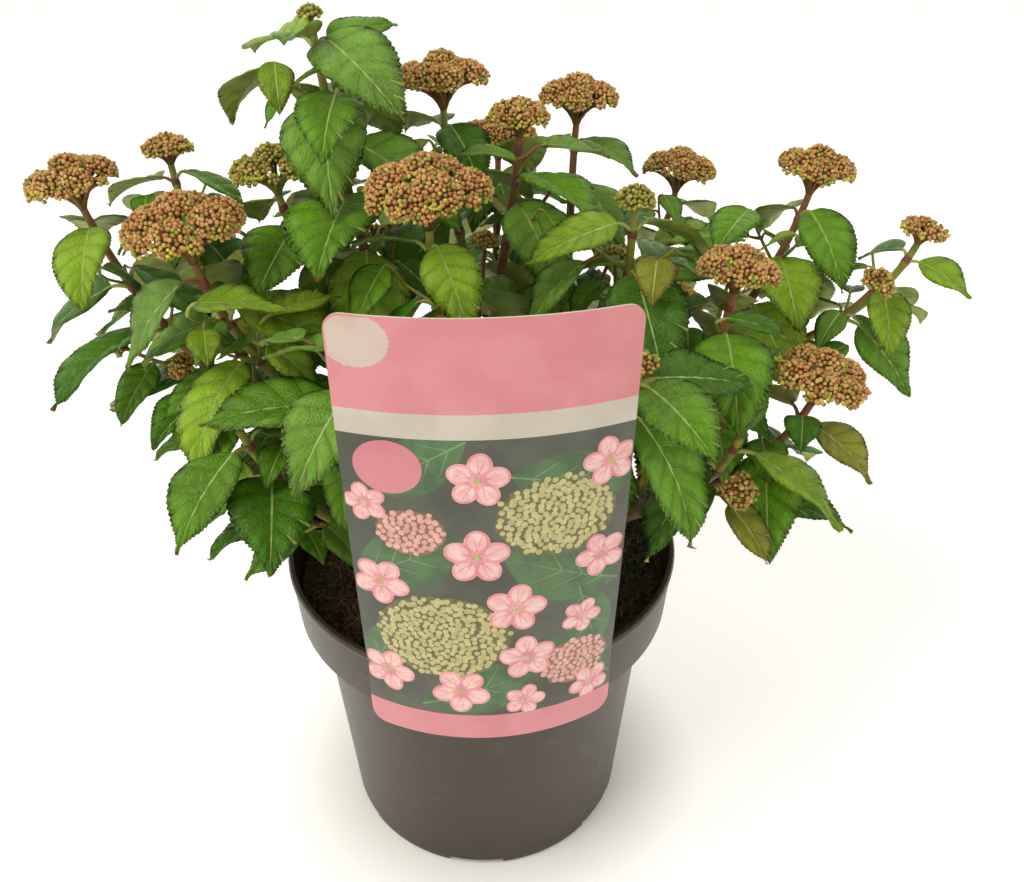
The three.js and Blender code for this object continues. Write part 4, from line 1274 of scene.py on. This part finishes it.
def plate(batch, outline, shade, lift):
    """A thin printed shape on the card's curve: its outline (s, z), turning anticlockwise, goes from just
    inside the card to lift, and then shrinks in even steps to its middle."""
    outline = np.asarray(outline, float)
    middle = outline.mean(axis=0)
    rings = int(np.ptp(outline[:, 0]) / 5.5) + 1
    shares = [1.0, *np.linspace(1, 0, rings, endpoint=False)]
    skins = []
    for share, depth in zip(shares, [0.2] + [-lift] * rings):
        flat = middle + (outline - middle) * share
        skins.append(label_point(flat[:, 0], flat[:, 1], depth))
    batch.skin(np.stack(skins), shade, label_point(*middle, 0.3), label_point(*middle, -lift))


def round_outline(s, z, radius, count, squash=1.0):
    """Points round a middle: (s + radius cos, z + radius squash sin)."""
    angle = np.arange(count) * 2 * math.pi / count
    return np.column_stack([s + radius * np.cos(angle), z + radius * squash * np.sin(angle)])


def kept(points):
    """Outlines are held within the card and the picture's band."""
    side = LABEL_WIDTH / 2 - PRINT_MARGIN
    return np.clip(points, (-side, PICTURE_FOOT), (side, PICTURE_TOP))


def print_leaf(batch, s, z, length, width, turn):
    """A pointed oval, with a paler midrib and side veins: half width w sin(pi x)^0.8 along its length."""
    x = np.linspace(0, 1, 21)
    side = width / 2 * np.sin(math.pi * x) ** 0.8
    along, across = np.array([math.cos(turn), math.sin(turn)]), np.array([-math.sin(turn), math.cos(turn)])
    low = (x * length)[:, None] * along - side[:, None] * across
    high = ((x * length)[:, None] * along + side[:, None] * across)[::-1]
    plate(batch, kept(np.concatenate([low, high[1:-1]]) + (s, z)), PRINT_LEAF, 0.03)
    for a, b, reach in [(0, 0, 0.9)] + [(v, sign, 0.26) for v in (0.16, 0.34, 0.52) for sign in (-1, 1)]:
        way = unit(along + across * b * 0.9)
        off = np.array([-way[1], way[0]])
        steps = np.linspace(0, length * reach, 7)[:, None]
        thick = (0.35 if b else 0.5) * (1 - np.linspace(0, 0.8, 7))[:, None]
        rib = np.concatenate([steps * way - thick * off, (steps * way + thick * off)[::-1]])
        plate(batch, kept(rib + (s, z) + along * length * a), PRINT_LEAF_PALE, 0.045)


def print_spray(batch, s, z, radius, shade, dark, squash):
    """A rounded spray of printed beads on turns of the golden angle, over a darker ground."""
    draw = np.random.default_rng(int(radius * 10))
    ground = round_outline(s, z, radius * 1.04, count=40, squash=squash)
    plate(batch, kept(ground + draw.normal(0, 0.5, ground.shape)), dark, 0.055)
    count = int(radius**2 * 0.36)
    for i in range(count):
        far = radius * math.sqrt((i + 0.5) / count) * draw.uniform(0.95, 1.06)
        angle = i * math.pi * GOLDEN
        middle = s + far * math.cos(angle), z + far * math.sin(angle) * squash
        plate(batch, kept(round_outline(*middle, draw.uniform(1.1, 1.55), count=8)), shade, 0.075)


def print_blossom(batch, s, z, radius, turn):
    """Five overlapping rounded petals, each with a paler middle and a fine deep vein, round a pale eye."""
    for i in range(5):
        angle = turn + i * 2 * math.pi / 5
        way = np.array([math.cos(angle), math.sin(angle)])
        across = np.array([-way[1], way[0]])
        lift = 0.09 + 0.006 * i
        for far, wide, shade, more in ((0.56, 0.46, PETAL, 0), (0.6, 0.33, PETAL_PALE, 0.03)):
            ring = round_outline(0, 0, radius, count=20)
            petal = ring[:, :1] * wide * way + ring[:, 1:] * wide * 0.86 * across
            plate(batch, kept(petal + (s, z) + way * radius * far), shade, lift + more)
        for spread in (-0.16, 0.1):
            low, high = spread - 0.006, spread + 0.006
            vein = np.array([[0.25, -0.012], [0.82, low], [0.82, high], [0.25, 0.012]]) * radius
            plate(batch, kept(vein[:, :1] * way + vein[:, 1:] * across + (s, z)), PETAL_DEEP, lift + 0.05)
    plate(batch, kept(round_outline(s, z, radius * 0.12, count=10)), BEAD, 0.18)


label = Batch()
label_card(label)
for leaf in (
    (-54, 214, 50, 30, 0.5), (54, 206, 54, 30, 2.7), (-30, 146, 56, 28, 0.4), (8, 266, 50, 26, -0.2),
    (54, 150, 44, 24, 2.3), (-54, 158, 38, 20, 1.1), (-8, 282, 46, 24, -2.6), (36, 208, 40, 22, -1.3),
):
    print_leaf(label, *leaf)
print_spray(label, -20, 186, 27, BEAD, BEAD_DARK, 0.8)
print_spray(label, 26, 246, 23, BEAD, BEAD_DARK, 0.78)
print_spray(label, 36, 166, 15, ROSY_BEAD, ROSY_DARK, 0.8)
print_spray(label, -30, 240, 13, ROSY_BEAD, ROSY_DARK, 0.8)
for blossom in (
    (-5, 229, 13, 0.3), (-44, 213, 12, 1.0), (10, 202, 12.5, 0.1), (45, 222, 11, 0.7), (-45, 162, 12, 1.2),
    (15, 174, 12, 0.4), (-13, 156, 12.5, 0.9), (-4, 265, 12, 0.2), (46, 267, 11, 0.5), (38, 191, 9, 1.1),
    (44, 149, 10, 0.8), (14, 149, 9, 0.0), (-47, 252, 9, 0.6),
):
    print_blossom(label, *blossom)
plate(label, round_outline(-37, 269.5, 13, count=36, squash=0.9), DISC, 0.2)
patch = round_outline(-45.5, 320.5, 13, count=96, squash=0.8)
patch = patch + np.random.default_rng(4).normal(0, 0.22, patch.shape)
half = LABEL_WIDTH / 2
patch = np.column_stack([np.maximum(patch[:, 0], -half + 0.8), np.minimum(patch[:, 1], LABEL_TOP - 0.8)])
corner = np.array([-half + LABEL_CORNER, LABEL_TOP - LABEL_CORNER])
past = patch - corner
out = (past[:, 0] < 0) & (past[:, 1] > 0)
far = np.maximum(1, np.hypot(*past.T) / (LABEL_CORNER - 0.8))
patch = np.where(out[:, None], corner + past / far[:, None], patch)
plate(label, patch, BLUSH, 0.05)
label.make("label_card", LABEL_FINISHES, "label_card", ["label"], 40)

hook = Batch()
depth = np.array([0.9, 0.9, 1.1, 2.4, 4.5, 6.7, 7.7, 7.8, 7.8])
height = np.array([179, 169, 166.6, 165.8, 165.7, 165.6, 164.6, 162, 148.2])
ahead = unit(np.gradient(np.column_stack([depth, height]), axis=0))
rings = []
for s, side in ((-1, -1), (1, -1), (1, 1), (-1, 1)):
    s, side = s * HOOK / 2, side * HOOK_HALF
    rings.append(label_point(s, height + ahead[:, 0] * side, depth - ahead[:, 1] * side))
hook.skin(np.stack(rings, axis=1))
hook.make("label_hook", [LABEL_FINISHES[CARD_EDGE]], "label_card", ["label"], 40)


# ---- Floor, light and camera ----

# The floor runs flat to COVE_FLAT metres, bends up by COVE_BEND and stands up to COVE_TOP, all round.
COVE_SIDES, COVE_FLAT, COVE_BEND, COVE_TOP = 64, 3, 1.5, 5.0
floor_mesh = bpy.data.meshes.new("floor")
ways_round = np.arange(COVE_SIDES) * 2 * math.pi / COVE_SIDES
bend = np.linspace(0, math.pi / 2, 9)
cove = [(COVE_FLAT / 6, 0.0), (COVE_FLAT / 2, 0.0)]
cove += [(COVE_FLAT + COVE_BEND * math.sin(b), COVE_BEND - COVE_BEND * math.cos(b)) for b in bend]
cove += [(COVE_FLAT + COVE_BEND, COVE_TOP)]
rings = [(r * math.cos(a), r * math.sin(a), z) for r, z in cove for a in ways_round]
walls = ring_faces(len(cove), COVE_SIDES)[..., ::-1].reshape(-1, 4).tolist()
middle_fan = [(len(rings), k, (k + 1) % COVE_SIDES) for k in range(COVE_SIDES)]
floor_mesh.from_pydata(rings + [(0, 0, 0)], [], walls + middle_fan)
floor_mesh.shade_smooth()
floor = bpy.data.objects.new("floor", floor_mesh)
bpy.context.scene.collection.objects.link(floor)
floor_finish = plain_finish("pale_floor", ("f3f1ec", "f8f7f3"), 0.8, 6.0, 0.0001)
# The floor and cove glow, as painted light, and the glow drops to a tenth near the pot's foot, 6.6 to 13 cm
# from the middle, as a painted contact shadow.
away = floor_finish.node("ShaderNodeVectorMath", {"operation": "LENGTH"}, {0: floor_finish.place()}, "Value")
glow = floor_finish.steps(away, 0.066, 0.13)
glow_and_painted_shadow = floor_finish.mix(glow, (0.1, 0.1, 0.1, 1), (1, 1, 1, 1))
floor_finish.feed(Emission_Color=glow_and_painted_shadow, Emission_Strength=0.36)
floor_mesh.materials.append(floor_finish.material)


def light(name, place, size, power):
    """A soft warm square lamp that faces the plant."""
    lamp = bpy.data.lights.new(name, "AREA")
    lamp.size, lamp.energy, lamp.color = size, power, LAMP_TONE
    holder = bpy.data.objects.new(name, lamp)
    holder.location = place
    way = np.array(LAMP_TARGET) - np.array(place)
    flat = math.hypot(way[0], way[1])
    holder.rotation_euler = (math.atan2(flat, -way[2]), 0, math.atan2(way[1], way[0]) - math.pi / 2)
    bpy.context.scene.collection.objects.link(holder)


LAMP_TARGET, LAMP_TONE = (0, 0.05, 0.25), (1, 0.96, 0.87)
light("key", (-0.8, -0.6, 1.7), 0.9, 15.5)
light("fill", (1.3, -0.5, 1.0), 1.4, 1.3)
light("top", (0.1, 0.9, 1.8), 1.2, 5)
world = bpy.data.worlds.new("studio")
world.use_nodes = True
sky = world.node_tree.nodes["Background"].inputs
sky["Color"].default_value = (1.0, 0.965, 0.88, 1.0)
sky["Strength"].default_value = 0.17
bpy.context.scene.world = world
bpy.context.scene.view_settings.view_transform = "Standard"

camera = bpy.data.cameras.new("camera")
FRAME_WIDTH, FOCAL_LENGTH = 1024, 1000  # both in pixels of the frame
camera.sensor_width, camera.lens = 36.0, 36.0 * FOCAL_LENGTH / FRAME_WIDTH
camera.clip_start, camera.clip_end = 0.01, 50
stand = bpy.data.objects.new("camera", camera)
stand.location = (0.009, -0.3895, 0.476)
stand.rotation_euler = (math.radians(90 - 33.5), 0, -0.015)
bpy.context.scene.collection.objects.link(stand)
bpy.context.scene.camera = stand
